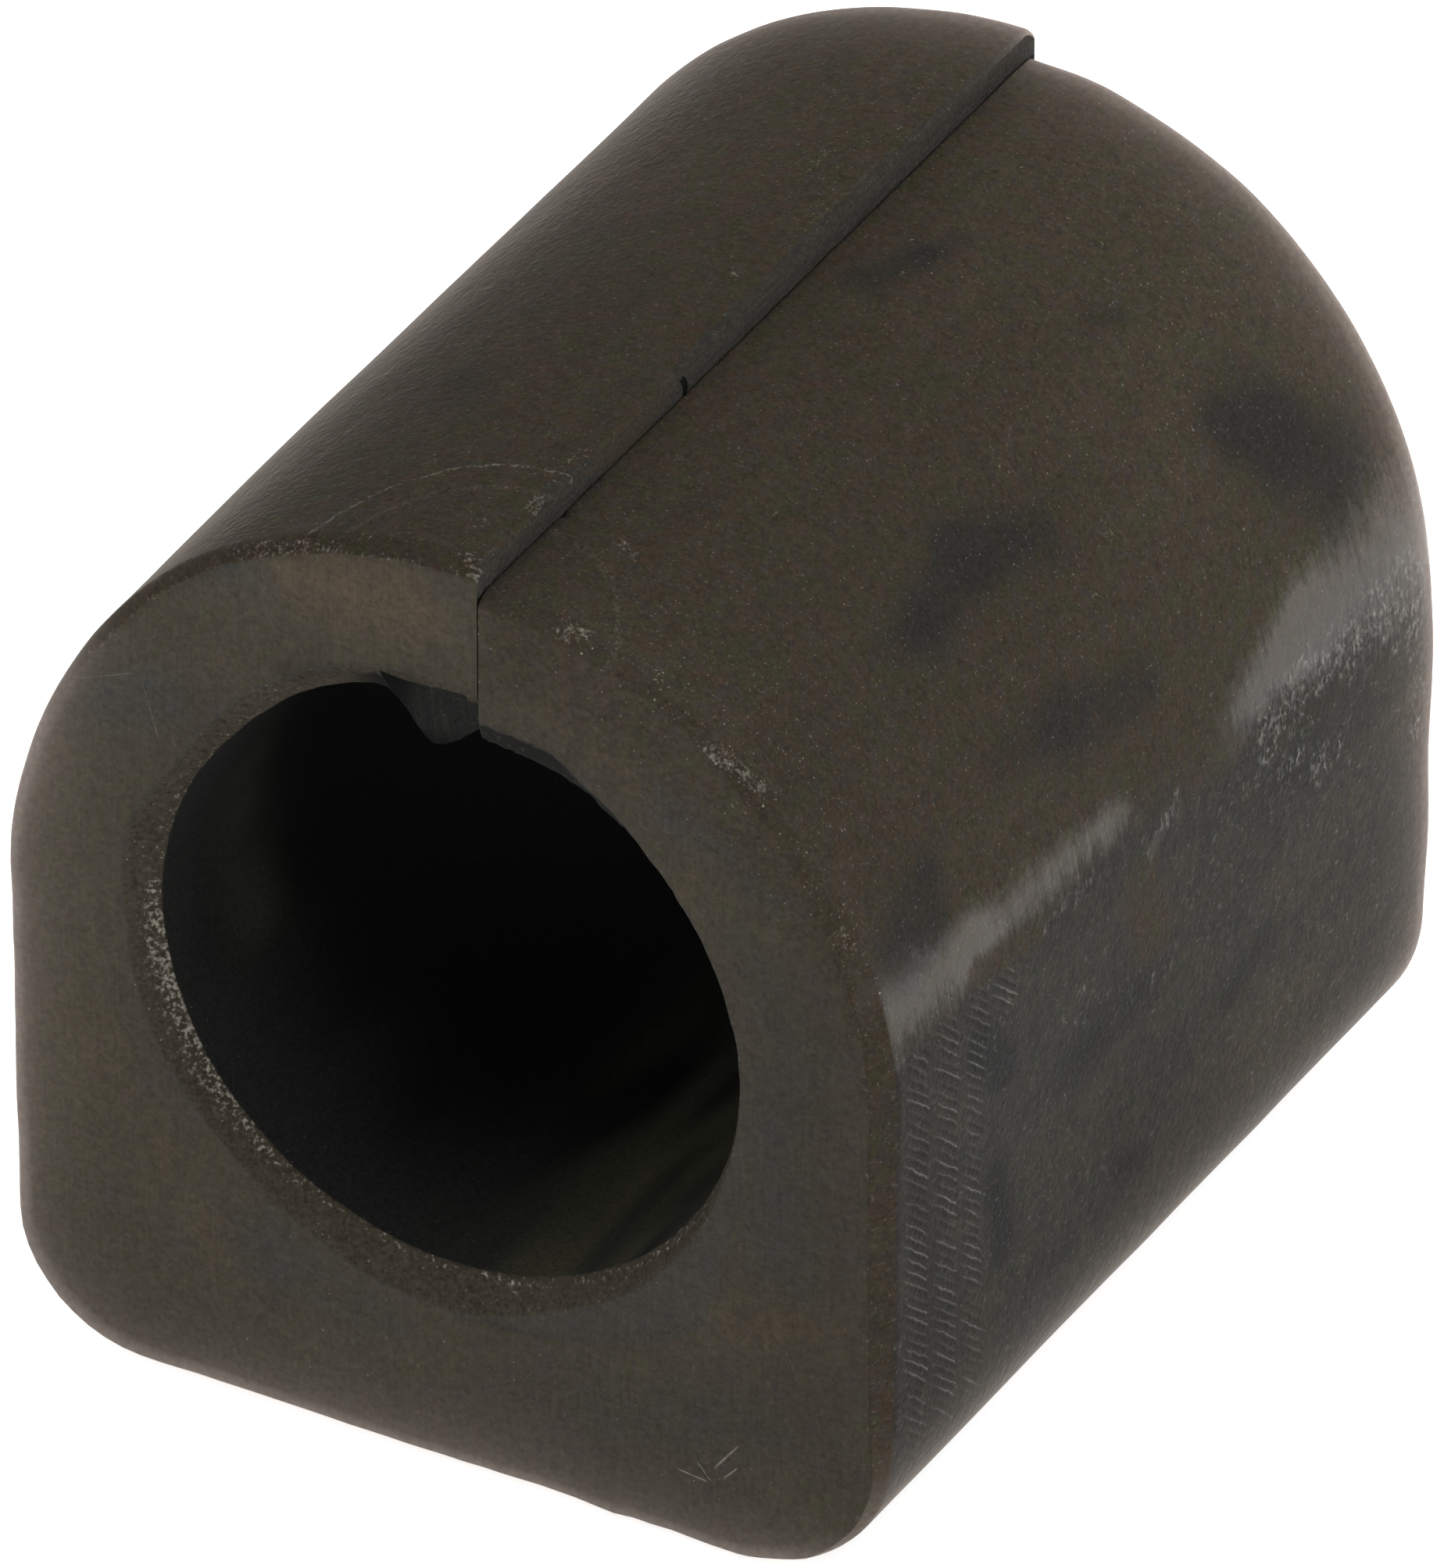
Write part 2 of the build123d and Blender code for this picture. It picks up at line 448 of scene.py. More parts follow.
    bare_lip: Table = (
        (0.0, 0.3), (2.4, 0.22), (4.6, 0.08), (5.6, 0.1), (6.4, 0.75), (8.0, 0.8), (9.6, 0.55),
        (11.0, 0.12), (14.0, 0.02), (17.8, 0.08), (18.6, 0.62), (22.0, 0.7), (26.0, 0.5), (31.0, 0.7),
        (36.0, 0.55), (52.0, 0.35),
    )

    def lip(self, along: np.ndarray, left: np.ndarray) -> np.ndarray:
        """How far a place lies within the bare strip: the strip's width there less the girth."""
        places = np.array(self.bare_lip)
        width = np.interp(along, places[:, 0], places[:, 1])
        return width + 0.08 * Waver(51).over(along / 0.7, 0 * along) - left


class Part(IntEnum):
    """Parts of the skin, in their order round the wall of the block from the near end's edge on."""

    OUTSIDE = 0
    FAR_FACE = 1
    FAR_MOUTH = 2
    TUBE = 3
    BAND = 4
    CRESCENT = 5
    NEAR_FACE = 6


class Slot(IntEnum):
    """Places of the finishes in the block's list of materials."""

    SKIN = 0
    END = 1
    BORE = 2
    CUT = 3


@dataclass
class Block:
    """The moulded rubber block itself, as one closed skin."""

    outline: Outline = field(default_factory=Outline)
    mouth: WornMouth = field(default_factory=WornMouth)
    wear: Wear = field(default_factory=Wear)
    length: float = 51.8
    bevel_depth: float = 0.6
    bevel_run: float = 1.0
    wall_bevel: tuple[float, float] = (0.2, 0.3)
    far_mouth_bevel: float = 0.9
    slit_lean: float = 0.24
    near_steps: int = 10
    far_steps: int = 9
    flap_end: float = 99.5
    flap_width: float = 0.55

    def _swell(self, at: Tables, along: np.ndarray) -> np.ndarray:
        """How far the moulding stands out of its outline, as humps and hollows over angle and length.

        Args:
            at: The stations, each value as a column.
            along: Distance from the near end, one row per station.

        Returns:
            The swell along the outward direction, which is negative where the skin is sunk.
        """
        angle, left, right = at["angle"], at["left"], at["right"]
        near = 1 - smooth_step(along, 0, 20)
        swell = -(0.03 + 0.2 * near) * bell(angle, 150, 20) + 0.1 * bell(angle, 180, 9)
        swell = swell + 0.15 * bell(angle, 182, 14) * (1 - smooth_step(along, 8, 34))
        swell = swell + 0.13 * bell(angle, 206, 12) * near - 0.1 * bell(angle, 228, 7) * near
        far_flank = 0.25 * bell(angle, 345, 18) + 0.18 * bell(angle, 352, 9) + 0.2 * bell(angle, 330, 6)
        swell = swell + 0.1 + far_flank * smooth_step(along, 24, 42)
        swell = swell + 0.2 * bell(angle, 418, 20) + 0.14 * bell(angle, 372, 22)
        swell = swell - 0.15 * bell(angle, 428, 10) * smooth_step(along, 25, 45)
        swell = swell - 0.27 * (1 - smooth_step(right, 0.2, 4.0))
        swell = swell + 0.12 * (1 - smooth_step(left, 0, 7)) * smooth_step(along, 14, 46)
        slow = 0.035 * Waver(21).over(angle / 14, along / 9) + 0.02 * Waver(22).over(angle / 5, along / 3.4)
        still = 0.5 * np.ones_like(angle)
        chips = 0.06 * bell(left, 0, 0.8) * Waver(23).over(along / 0.8, still)
        chips = chips + 0.05 * bell(right, 0, 0.3) * Waver(24).over(along / 0.45, still)
        nick = -0.3 * bell(along, 18.6, 0.3) * bell(left, 0.2, 0.4)
        nick = nick - 0.3 * bell(along, 7.7, 0.22) * bell(right, 0, 0.3)
        return swell + slow + chips + nick

    def _bevel(self, share: np.ndarray, flatness: np.ndarray, softness: np.ndarray) -> tuple:
        """Profile of a worn edge, from the end face at share 0 to the side at share 1.

        Args:
            share: How far along the profile.
            flatness: 1 for a straight bevel with two crisp edges.
            softness: Where the bevel isn't straight, 1 for a quarter of an ellipse, and 0 for a curve that
                is crisp at the end face and runs out into the side.

        Returns:
            How much of the bevel's depth is still cut away, and how much of its run has been covered: 1 - s
            and s on a straight bevel, 1 - sin and 1 - cos of a quarter turn on an ellipse, and (1 - s)² and
            s on the other curve.
        """
        turn = share * np.pi / 2
        cut = softness * (1 - np.sin(turn)) + (1 - softness) * (1 - share) ** 2
        run = softness * (1 - np.cos(turn)) + (1 - softness) * share
        return flatness * (1 - share) + (1 - flatness) * cut, flatness * share + (1 - flatness) * run

    def _outside(self, at: Tables) -> Tables:
        """Near bevel, side and far bevel: each station's outline place, moved in along its direction.

        Args:
            at: The stations, each value as a column.

        Returns:
            The places x, y, z and the values named in Block.sheet, as tables of station by step.
        """
        angle = at["angle"]
        half = self.length / 2
        still = 0 * angle
        uneven = 0.07 * Waver(31).over(angle / 6, still) + 0.035 * Waver(32).over(angle / 1.6, still)
        flat_wall = smooth_step(angle, 318, 326) * (1 - smooth_step(angle, 376, 392))
        soft_dome = smooth_step(angle, 376, 396)
        base = bell(angle, 300, 24)
        depth = self.bevel_depth + self.wall_bevel[0] * flat_wall + 0.1 * soft_dome - 0.22 * base
        depth = depth + uneven + 0.06 * base * Waver(33).over(angle / 2.6, 0 * angle)
        run = self.bevel_run + self.wall_bevel[1] * np.maximum(flat_wall, soft_dome) + 0.6 * uneven
        near = np.linspace(0, 1, self.near_steps)[None, :]
        near_cut, near_run = self._bevel(near, 0.85 * flat_wall, soft_dome)
        far = np.linspace(1, 0, self.far_steps)[None, :]
        far_cut, far_run = self._bevel(far, still, still)
        # Steps along the side, close together behind the near edge and about the left lip's nick
        fine = np.arange(0.3, 10.6, 0.3)
        around_nick = np.arange(17.4, 19.9, 0.15)
        coarse = np.linspace(fine[-1], self.length - 2 * self.bevel_run, 58)[1:-1]
        coarse = coarse[(coarse < around_nick[0] - 0.2) | (coarse > around_nick[-1] + 0.2)]
        steps = np.sort(np.concatenate([fine, coarse, around_nick])) / (self.length - 2 * self.bevel_run)
        side = run + steps[None, :] * (self.length - run - self.bevel_run)
        along = np.concatenate([near_run * run, side, self.length - far_run * self.bevel_run], 1)
        nothing = np.zeros_like(side)
        cut = np.concatenate([near_cut * depth, nothing, far_cut * self.bevel_depth], 1)
        bevel = np.concatenate([near + 0 * run, nothing + 1, 1 + 0 * far_cut], 1)
        move = self._swell(at, along) - cut
        return {
            "x": at["x"] + at["out_x"] * move,
            "y": along - half,
            "z": at["z"] + at["out_z"] * move,
            "bevel": bevel,
        }

    def _ring(self, at: Tables, radius: np.ndarray) -> tuple[np.ndarray, np.ndarray]:
        """Places at a radius about the bore, spread so that both ends stay on the walls of the slit.

        Args:
            at: The stations, each value as a column.
            radius: Radius of each place.

        Returns:
            x and z: the radius times the cosine and sine of an angle that runs evenly with the stations'.
        """
        share = (at["angle"] - at["angle"][0]) / (at["angle"][-1] - at["angle"][0])
        first = np.arccos(self.outline.left_wall / radius)
        last = 2 * np.pi + np.arccos(self.outline.right_wall / radius)
        turn = first + share * (last - first)
        return radius * np.cos(turn), radius * np.sin(turn)

    def sheet(self) -> Tables:
        """The whole skin as tables of station by step round the wall, which closes on itself.

        Returns:
            x, y, z, the part (kind), the distance from the near end (along), the girth from each lip (left
            and right), and what the finishes need of each place: bevel (0 on the near end, 1 on the side),
            edge_in (mm inwards from an end's outline), mouth_in (mm inwards from the worn band's outer
            edge), crescent_in (the same for the crescent) and bore_in (mm into the bore).
        """
        at = {name: values[:, None] for name, values in self.outline.stations().items()}
        angle = at["angle"]
        half = self.length / 2
        bore = self.mouth.bore_radius
        outside = self._outside(at)

        far_ring = bore + self.far_mouth_bevel + 0 * angle
        far_x, far_z = self._ring(at, far_ring)
        share = np.linspace(0, 1, 9)[None, 1:]
        far_face = {
            "x": outside["x"][:, -1:] * (1 - share) + far_x * share,
            "y": half + 0 * angle * share,
            "z": outside["z"][:, -1:] * (1 - share) + far_z * share,
        }
        share = np.linspace(0, 1, 6)[None, 1:]
        rounded = share - 0.18 * np.sin(np.pi * share)
        x, z = self._ring(at, far_ring - self.far_mouth_bevel * share)
        far_mouth = {"x": x, "y": half - self.far_mouth_bevel * rounded + 0 * angle, "z": z}

        depth = self.mouth.worn_depth(angle)
        start = self.far_mouth_bevel + 1.0
        stop = self.length - 3.0
        inside = np.linspace(start, stop, 30)[None, :] + 0 * angle
        inside = np.concatenate([inside, self.length - (depth + [1.6, 0.9, 0.4, 0.12])], 1)
        widened = self.mouth.inner_radius(angle) - bore
        x, z = self._ring(at, bore + widened * smooth_step(inside, self.length - 5, self.length - 0.8))
        tube = {"x": x, "y": half - inside, "z": z}

        band = self.mouth.band_radius(angle)
        edge = self.mouth.inner_radius(angle)
        q = np.array([0.0, 0.07, 0.16, 0.3, 0.45, 0.6, 0.75, 0.88, 1.0])[None, :]
        x, z = self._ring(at, edge + q * (band - edge))
        shelf = self.mouth.crescent_depth * smooth_step(self.mouth.crescent_radius(angle) - band, 0.1, 0.5)
        sink = shelf + (depth - shelf) * (1 - q) ** 1.25
        worn = {"x": x, "y": -half + sink, "z": z}

        rim = self.mouth.crescent_radius(angle)
        q = np.array([0.3, 0.6, 0.85, 1.0])[None, :]
        x, z = self._ring(at, band + q * (rim - band))
        crescent = {"x": x, "y": -half + shelf * (1 - smooth_step(q, 0.75, 1.0)), "z": z}

        share = np.concatenate([[0.04], np.linspace(0, 1, 16)[1:-1]])[None, :]
        face = {
            "x": crescent["x"][:, -1:] * (1 - share) + outside["x"][:, :1] * share,
            "y": -half + 0 * angle * share,
            "z": crescent["z"][:, -1:] * (1 - share) + outside["z"][:, :1] * share,
        }

        parts = [outside, far_face, far_mouth, tube, worn, crescent, face]
        whole = {name: np.concatenate([part[name] for part in parts], 1) for name in ("x", "y", "z")}
        widths = [part["x"].shape[1] for part in parts]
        kind = np.repeat(np.arange(len(parts)), widths)[None, :] + 0 * angle
        radius = np.hypot(whole["x"], whole["z"])
        near_side = kind >= Part.BAND
        whole["bevel"] = np.where(near_side, 0.0, 1.0)
        whole["bevel"][:, : widths[0]] = outside["bevel"]
        mouth_in = np.where(kind == Part.TUBE, 3.0, -3.0)
        mouth_in = np.where(kind == Part.FAR_MOUTH, far_ring - radius, mouth_in)
        whole["mouth_in"] = np.where(near_side, band - radius, mouth_in)
        whole["crescent_in"] = np.where(near_side, rim - radius, -3.0)
        from_near = whole["y"] + half - depth
        from_either = np.minimum(from_near, self.length - from_near - 2)
        into = np.where(kind == Part.TUBE, from_either, bore - radius)
        whole["bore_in"] = np.where(kind == Part.OUTSIDE, -8.0, np.maximum(into, -8.0))
        inward = np.zeros(kind.shape)
        for part, edge in ((Part.FAR_FACE, widths[0] - 1), (Part.NEAR_FACE, 0)):
            here = slice(sum(widths[:part]), sum(widths[: part + 1]))
            rim_x, rim_z = whole["x"][:, edge, None], whole["z"][:, edge, None]
            inward[:, here] = np.hypot(whole["x"][:, here] - rim_x, whole["z"][:, here] - rim_z)
        outlined = (Part.OUTSIDE, Part.FAR_FACE, Part.NEAR_FACE)
        whole["edge_in"] = np.where(np.isin(kind, outlined), inward, 9.0)
        whole["kind"] = kind
        whole["along"] = whole["y"] + half
        lean = bell(at["left"], 0, 3.5) + bell(at["right"], 0, 3.5)
        whole["x"] = whole["x"] - self.slit_lean * lean * whole["along"] / self.length
        whole["left"] = at["left"] + 0 * kind
        whole["right"] = at["right"] + 0 * kind
        return whole

    def marks(self, skin: Tables) -> Tables:
        """Values that carry the wear and the painted light over the skin, each a sum of soft marks.

        Args:
            skin: The tables that Block.sheet gives.

        Returns:
            drift and hue (slow unevenness from -1 to 1), ring and ring_right (mm from a scratched circle on
            each dome), flank (1 on the right wall), lip (mm into the bare strip), rim (how strong the
            painted pale glow along the outer edges is), tone (1 where nothing lightens or darkens; its
            lightening towards the far end and by the near end's left and lower edges is painted light), and
            the strength of smudge, scuff, grit, polish, crease, streak, warm and cool, by the same places.
            smudge also holds painted shade along the slit's right edge.
        """
        along, x, z = skin["along"], skin["x"], skin["z"]
        edge = np.arange(x.shape[1])[None, :] == 0
        outside = skin["kind"] == Part.OUTSIDE
        outer = (outside & ~edge).astype(float)
        near = ((skin["kind"] >= Part.BAND) | edge).astype(float)
        on_right = outer * (skin["right"] < skin["left"])
        on_left = outer * (skin["right"] >= skin["left"])

        def spread(marks: Marks) -> np.ndarray:
            """The marks of each surface, on that surface alone."""
            total = on_right * rubbed(marks.right, along, skin["right"])
            total = total + on_left * rubbed(marks.left, along, skin["left"])
            return total + near * rubbed(marks.near, x, z)

        (on, girth, radius), (on_other, other_girth, other_radius) = self.wear.rings
        ring = np.hypot(along - on, skin["left"] - girth) - radius
        ring_right = np.hypot(along - on_other, skin["right"] - other_girth) - other_radius
        side_wall = smooth_step(skin["right"], 27.5, 31.5) * (1 - smooth_step(skin["right"], 54, 62))
        u, v = np.where(near > 0, x, skin["left"]), np.where(near > 0, z, along)
        long, short = np.where(near > 0, 0.45, 0.09), np.where(near > 0, 0.45, 0.75)
        drift = 0.65 * Waver(61).over(u * short, v * long)
        drift = drift + 0.35 * Waver(62).over(u * short * 2.3, v * long * 2.1)
        hue = 0.6 * Waver(63).over(u * 0.42, v * 0.22) + 0.4 * Waver(64).over(u * 1.1, v * 0.6)
        # Painted pale glow (rim): the near end's left and lower edges, the far end, the right flank's foot.
        angle = np.degrees(np.arctan2(z, x)) % 360
        glow_sides = smooth_step(angle, 135, 165) * (1 - smooth_step(angle, 302, 314))
        round_edge = 0.25 * (1 - skin["bevel"]) + np.maximum(along - 1.3, 0)
        inwards = np.where(outside, round_edge, np.where(near > 0, 0.25 + skin["edge_in"], 9.0))
        far_in = np.where(outer > 0, np.maximum(self.length - 0.7 - along, 0), 9.0)
        rim = glow_sides * (0.8 * np.exp(-inwards / 0.25) + 0.29 * np.exp(-inwards / 1.5))
        wide = 0.26 + 0.08 * on_left + 0.1 * on_right * side_wall
        rim = rim + 0.6 * np.exp(-far_in / 0.4) + wide * np.exp(-far_in / 2.0)
        rim = rim + 0.26 * on_right * bell(skin["right"], 56.5, 3.6)
        return {
            "drift": drift,
            "hue": hue,
            "smudge_and_shade": spread(self.wear.smudges_and_slit_shade),
            "scuff": spread(self.wear.scuffs),
            "grit": spread(self.wear.grit),
            "tone": 1 + spread(self.wear.light),
            "polish": on_right * rubbed(self.wear.polish, along, skin["right"]),
            "crease": on_right * rubbed(self.wear.creases, along, skin["right"]),
            "streak": on_right * rubbed(self.wear.dust_streaks, along, skin["right"]),
            "warm": spread(self.wear.warm),
            "cool": spread(self.wear.cool),
            "ring": np.where(on_left > 0, ring, 6.0),
            "ring_right": np.where(on_right > 0, ring_right, 6.0),
            "flank": on_right * side_wall,
            "lip": np.where(on_left > 0, self.wear.lip(along, skin["left"]), -5.0),
            "rim": rim,
        }

    def build(self) -> bpy.types.Object:
        """Makes the mesh: the skin's tables as vertices, closed by the two walls of the slit.

        Returns:
            The finished piece, at the origin, with the wear and painted light as attributes of its
            vertices.
        """
        skin = self.sheet()
        marks = self.marks(skin)
        rows, steps = skin["x"].shape
        places = np.stack([skin["x"], skin["y"], skin["z"]], -1).reshape(-1, 3) * MM
        i, j = np.meshgrid(np.arange(rows - 1), np.arange(steps), indexing="ij")
        k = (j + 1) % steps
        quads = np.stack([i * steps + j, i * steps + k, (i + 1) * steps + k, (i + 1) * steps + j], -1)
        quads = quads.reshape(-1, 4)
        first = np.arange(steps)[::-1]
        last = (rows - 1) * steps + np.arange(steps)
        corners = np.concatenate([quads.ravel(), first, last]).astype(np.int32)
        sizes = np.concatenate([np.full(len(quads), 4), [steps, steps]]).astype(np.int32)
        starts = np.concatenate([[0], np.cumsum(sizes)[:-1]]).astype(np.int32)
        mesh = bpy.data.meshes.new("rubber_block")
        mesh.vertices.add(len(places))
        mesh.vertices.foreach_set("co", places.astype(np.float32).ravel())
        mesh.loops.add(len(corners))
        mesh.loops.foreach_set("vertex_index", corners)
        mesh.polygons.add(len(sizes))
        mesh.polygons.foreach_set("loop_start", starts)
        mesh.polygons.foreach_set("loop_total", sizes)
        finish = np.append(self._slots(skin), [Slot.CUT, Slot.CUT])
        mesh.polygons.foreach_set("material_index", finish.astype(np.int32))
        mesh.polygons.foreach_set("use_smooth", sizes == 4)
        mesh.update(calc_edges=True)
        self._sharpen(mesh, rows, steps)
        for name in ("bevel", "edge_in", "mouth_in", "crescent_in", "bore_in"):
            self._keep(mesh, name, skin[name])
        for name, values in marks.items():
            self._keep(mesh, name, values)
        mesh.validate(verbose=True)
        piece = bpy.data.objects.new("rubber_block", mesh)
        bpy.context.scene.collection.objects.link(piece)
        return piece

    def _slots(self, skin: Tables) -> np.ndarray:
        """The finish of each face of the skin.

        Args:
            skin: The tables that Block.sheet gives.

        Returns:
            The slots of the skin's faces. The flap of torn rubber beside the slit is as dark as the bore.
        """
        kind = skin["kind"][:-1].astype(int).ravel()
        turn = np.degrees(np.arctan2(skin["z"], skin["x"]))[:-1].ravel()
        flap = (kind == Part.BAND) & (turn > self.mouth.slit_turn) & (turn < self.flap_end)
        flap = flap & (skin["mouth_in"][:-1].ravel() > self.flap_width)
        slots = np.full(len(Part), Slot.END)
        slots[Part.OUTSIDE], slots[Part.TUBE] = Slot.SKIN, Slot.BORE
        return np.where(flap, Slot.BORE, slots[kind])

    def _sharpen(self, mesh: bpy.types.Mesh, rows: int, steps: int) -> None:
        """Marks the edges between the skin and the slit's two flat walls as sharp."""
        ends = np.zeros(len(mesh.edges) * 2, np.int32)
        mesh.edges.foreach_get("vertices", ends)
        row = ends.reshape(-1, 2) // steps
        sharp = (row[:, 0] == row[:, 1]) & ((row[:, 0] == 0) | (row[:, 0] == rows - 1))
        mesh.attributes.new("sharp_edge", "BOOLEAN", "EDGE").data.foreach_set("value", sharp)

    def _keep(self, mesh: bpy.types.Mesh, name: str, values: np.ndarray) -> None:
        """Stores one value per vertex as an attribute that the finishes read."""
        kept = mesh.attributes.new(name, "FLOAT", "POINT")
        kept.data.foreach_set("value", np.asarray(values, np.float32).ravel())

    def dress(self, piece: bpy.types.Object) -> None:
        """Gives the outside, the ends, the bore and the slit's walls their own rubber, in that order."""
        for finish in (WornSkin(), TrimmedEnd(), DarkBore(), CutRubber()):
            piece.data.materials.append(finish.material())


# Finishes


class Value:
    """One number of a material that varies over the surface, with Python's own arithmetic."""

    def __init__(self, sheet: "NodeSheet", socket: bpy.types.NodeSocket) -> None:
        """Wraps the output socket of a node on that sheet."""
        self.sheet = sheet
        self.socket = socket

    def _with(self, operation: str, first: "Value | float", second: "Value | float") -> "Value":
        """Math node of that operation on two numbers."""
        return self.sheet.math(operation, first, second)

    def __add__(self, other: "Value | float") -> "Value":
        """This number plus another."""
        return self._with("ADD", self, other)

    __radd__ = __add__

    def __sub__(self, other: "Value | float") -> "Value":
        """This number less another."""
        return self._with("SUBTRACT", self, other)

    def __rsub__(self, other: float) -> "Value":
        """A plain number less this one."""
        return self._with("SUBTRACT", other, self)

    def __mul__(self, other: "Value | float") -> "Value":
        """This number times another."""
        return self._with("MULTIPLY", self, other)

    __rmul__ = __mul__

    def __truediv__(self, other: "Value | float") -> "Value":
        """This number divided by another."""
        return self._with("DIVIDE", self, other)

    def held(self) -> "Value":
        """This number kept between 0 and 1."""
        return self.step(0.0, 1.0, "LINEAR")

    def step(self, low: float, high: float, kind: str = "SMOOTHSTEP") -> "Value":
        """Rises from 0 where this number is low to 1 where it is high."""
        values = {"Value": self, "From Min": low, "From Max": high}
        node = self.sheet.node("ShaderNodeMapRange", {"interpolation_type": kind}, values)
        return Value(self.sheet, node.outputs["Result"])

    def near(self, middle: float, width: "Value | float") -> "Value":
        """1 where this number is the middle, and 0 where it is further off than the width."""
        return (self.sheet.math("ABSOLUTE", self - middle) / width).step(1.0, 0.0)

    def most(self, other: "Value | float") -> "Value":
        """The larger of this number and another."""
        return self._with("MAXIMUM", self, other)


Colour = Tone | bpy.types.NodeSocket


class NodeSheet:
    """The node tree of one material, with one method for each kind of thing that is put on it."""

    sheen_roughness = 0.2
    sheen_tint = (1.0, 0.87, 0.78)

    def __init__(self, name: str) -> None:
        """Starts a material of that name with nothing but its output node."""
        self.material = bpy.data.materials.new(name)
        self.material.use_nodes = True
        self.tree = self.material.node_tree
        self.tree.nodes.clear()
        self.output = self.tree.nodes.new("ShaderNodeOutputMaterial")

    def node(self, kind: str, settings: dict | None = None, values: dict | None = None) -> bpy.types.Node:
        """Adds any node.

        Args:
            kind: The node's type.
            settings: Its settings, which are set first.
            values: Its sockets by name or number, each a plain number, a tuple, a Value or a socket.

        Returns:
            The node.
        """
        node = self.tree.nodes.new(kind)
        for name, setting in (settings or {}).items():
            setattr(node, name, setting)
        for name, value in (values or {}).items():
            socket = node.inputs[name]
            if isinstance(value, Value):
                self.tree.links.new(value.socket, socket)
            elif isinstance(value, bpy.types.NodeSocket):
                self.tree.links.new(value, socket)
            else:
                socket.default_value = value
        return node

    def math(self, operation: str, first: "Value | float", second: "Value | float" = 0.0) -> Value:
        """A Math node on one or two numbers."""
        node = self.node("ShaderNodeMath", {"operation": operation}, {0: first, 1: second})
        return Value(self, node.outputs[0])

    def read(self, name: str) -> Value:
        """The piece's own attribute of that name."""
        node = self.node("ShaderNodeAttribute", {"attribute_type": "GEOMETRY", "attribute_name": name})
        return Value(self, node.outputs["Fac"])

    def place(self, x: float = 1.0, y: float = 1.0, z: float = 1.0) -> bpy.types.NodeSocket:
        """Object coordinates in millimetres, each multiplied by its own number."""
        here = self.node("ShaderNodeTexCoord").outputs["Object"]
        scale = (x / MM, y / MM, z / MM)
        return self.node("ShaderNodeVectorMath", {"operation": "MULTIPLY"}, {0: here, 1: scale}).outputs[0]

    def noise(self, place: bpy.types.NodeSocket, scale: float, detail: float, rough: float = 0.5) -> Value:
        """Soft noise from 0 to 1 over a place, with features of about 1 / scale."""
        values = {"Vector": place, "Scale": scale, "Detail": detail, "Roughness": rough}
        return Value(self, self.node("ShaderNodeTexNoise", {}, values).outputs[0])

    def cells(self, place: bpy.types.NodeSocket, scale: float) -> tuple[Value, Value]:
        """Scattered points: the distance to the nearest one, and a random number of its own."""
        node = self.node("ShaderNodeTexVoronoi", {"feature": "F1"}, {"Vector": place, "Scale": scale})
        apart = self.node("ShaderNodeSeparateColor", {}, {0: node.outputs["Color"]})
        return Value(self, node.outputs["Distance"]), Value(self, apart.outputs[0])

    def grains(self) -> tuple[Value, Value, Value]:
        """Fine, middling and coarse noise, the same in every finish, so that it runs on across seams."""
        here = self.place()
        fine, middling = self.noise(here, 5.0, 1.0, 0.75), self.noise(here, 2.9, 1.0, 0.6)
        return fine, middling, self.noise(here, 1.2, 1.0, 0.6)

    def specks(self, place: bpy.types.NodeSocket, scale: float, size: float, share: Value) -> Value:
        """Tiny dots, one in a share of the cells, of up to that size in cells."""
        distance, chance = self.cells(place, scale)
        radius = (chance - 1.0 + share).held() * (2.2 * size)
        return (self.math("MINIMUM", radius, size) - distance).step(0.0, 0.5 * size)

    def stroke(self, u: Value, v: Value, start: tuple, end: tuple, width: float) -> Value:
        """Straight scratch in the plane of two numbers.

        Args:
            u: First number.
            v: Second number.
            start: Where the scratch starts, as (u, v).
            end: Where it ends.
            width: How far from its line it fades out.

        Returns:
            1 along the middle of the scratch and 0 off it. The place is turned into how far it is along
            the line from its middle and how far off the line, and each of the two fades on its own.
        """
        long = float(np.hypot(end[0] - start[0], end[1] - start[1]))
        cosine, sine = (end[0] - start[0]) / long, (end[1] - start[1]) / long
        du, dv = u - (start[0] + end[0]) / 2, v - (start[1] + end[1]) / 2
        along = self.math("ABSOLUTE", du * cosine + dv * sine)
        off = self.math("ABSOLUTE", dv * cosine - du * sine)
        return off.step(width, 0.0) * along.step(0.5 * long, 0.3 * long)

    def blend(self, share: Value, first: Colour, second: Colour) -> bpy.types.NodeSocket:
        """Colour that goes from the first to the second as the share goes from 0 to 1."""
        colours = [(*c, 1.0) if isinstance(c, tuple) else c for c in (first, second)]
        settings = {"data_type": "RGBA", "clamp_factor": True}
        return self.node("ShaderNodeMix", settings, {0: share, 6: colours[0], 7: colours[1]}).outputs[2]

    def shade(self, colour: bpy.types.NodeSocket, amount: Value) -> bpy.types.NodeSocket:
        """Colour made lighter or darker: multiplied by the amount."""
        values = {0: colour, "Scale": amount}
        return self.node("ShaderNodeVectorMath", {"operation": "SCALE"}, values).outputs[0]

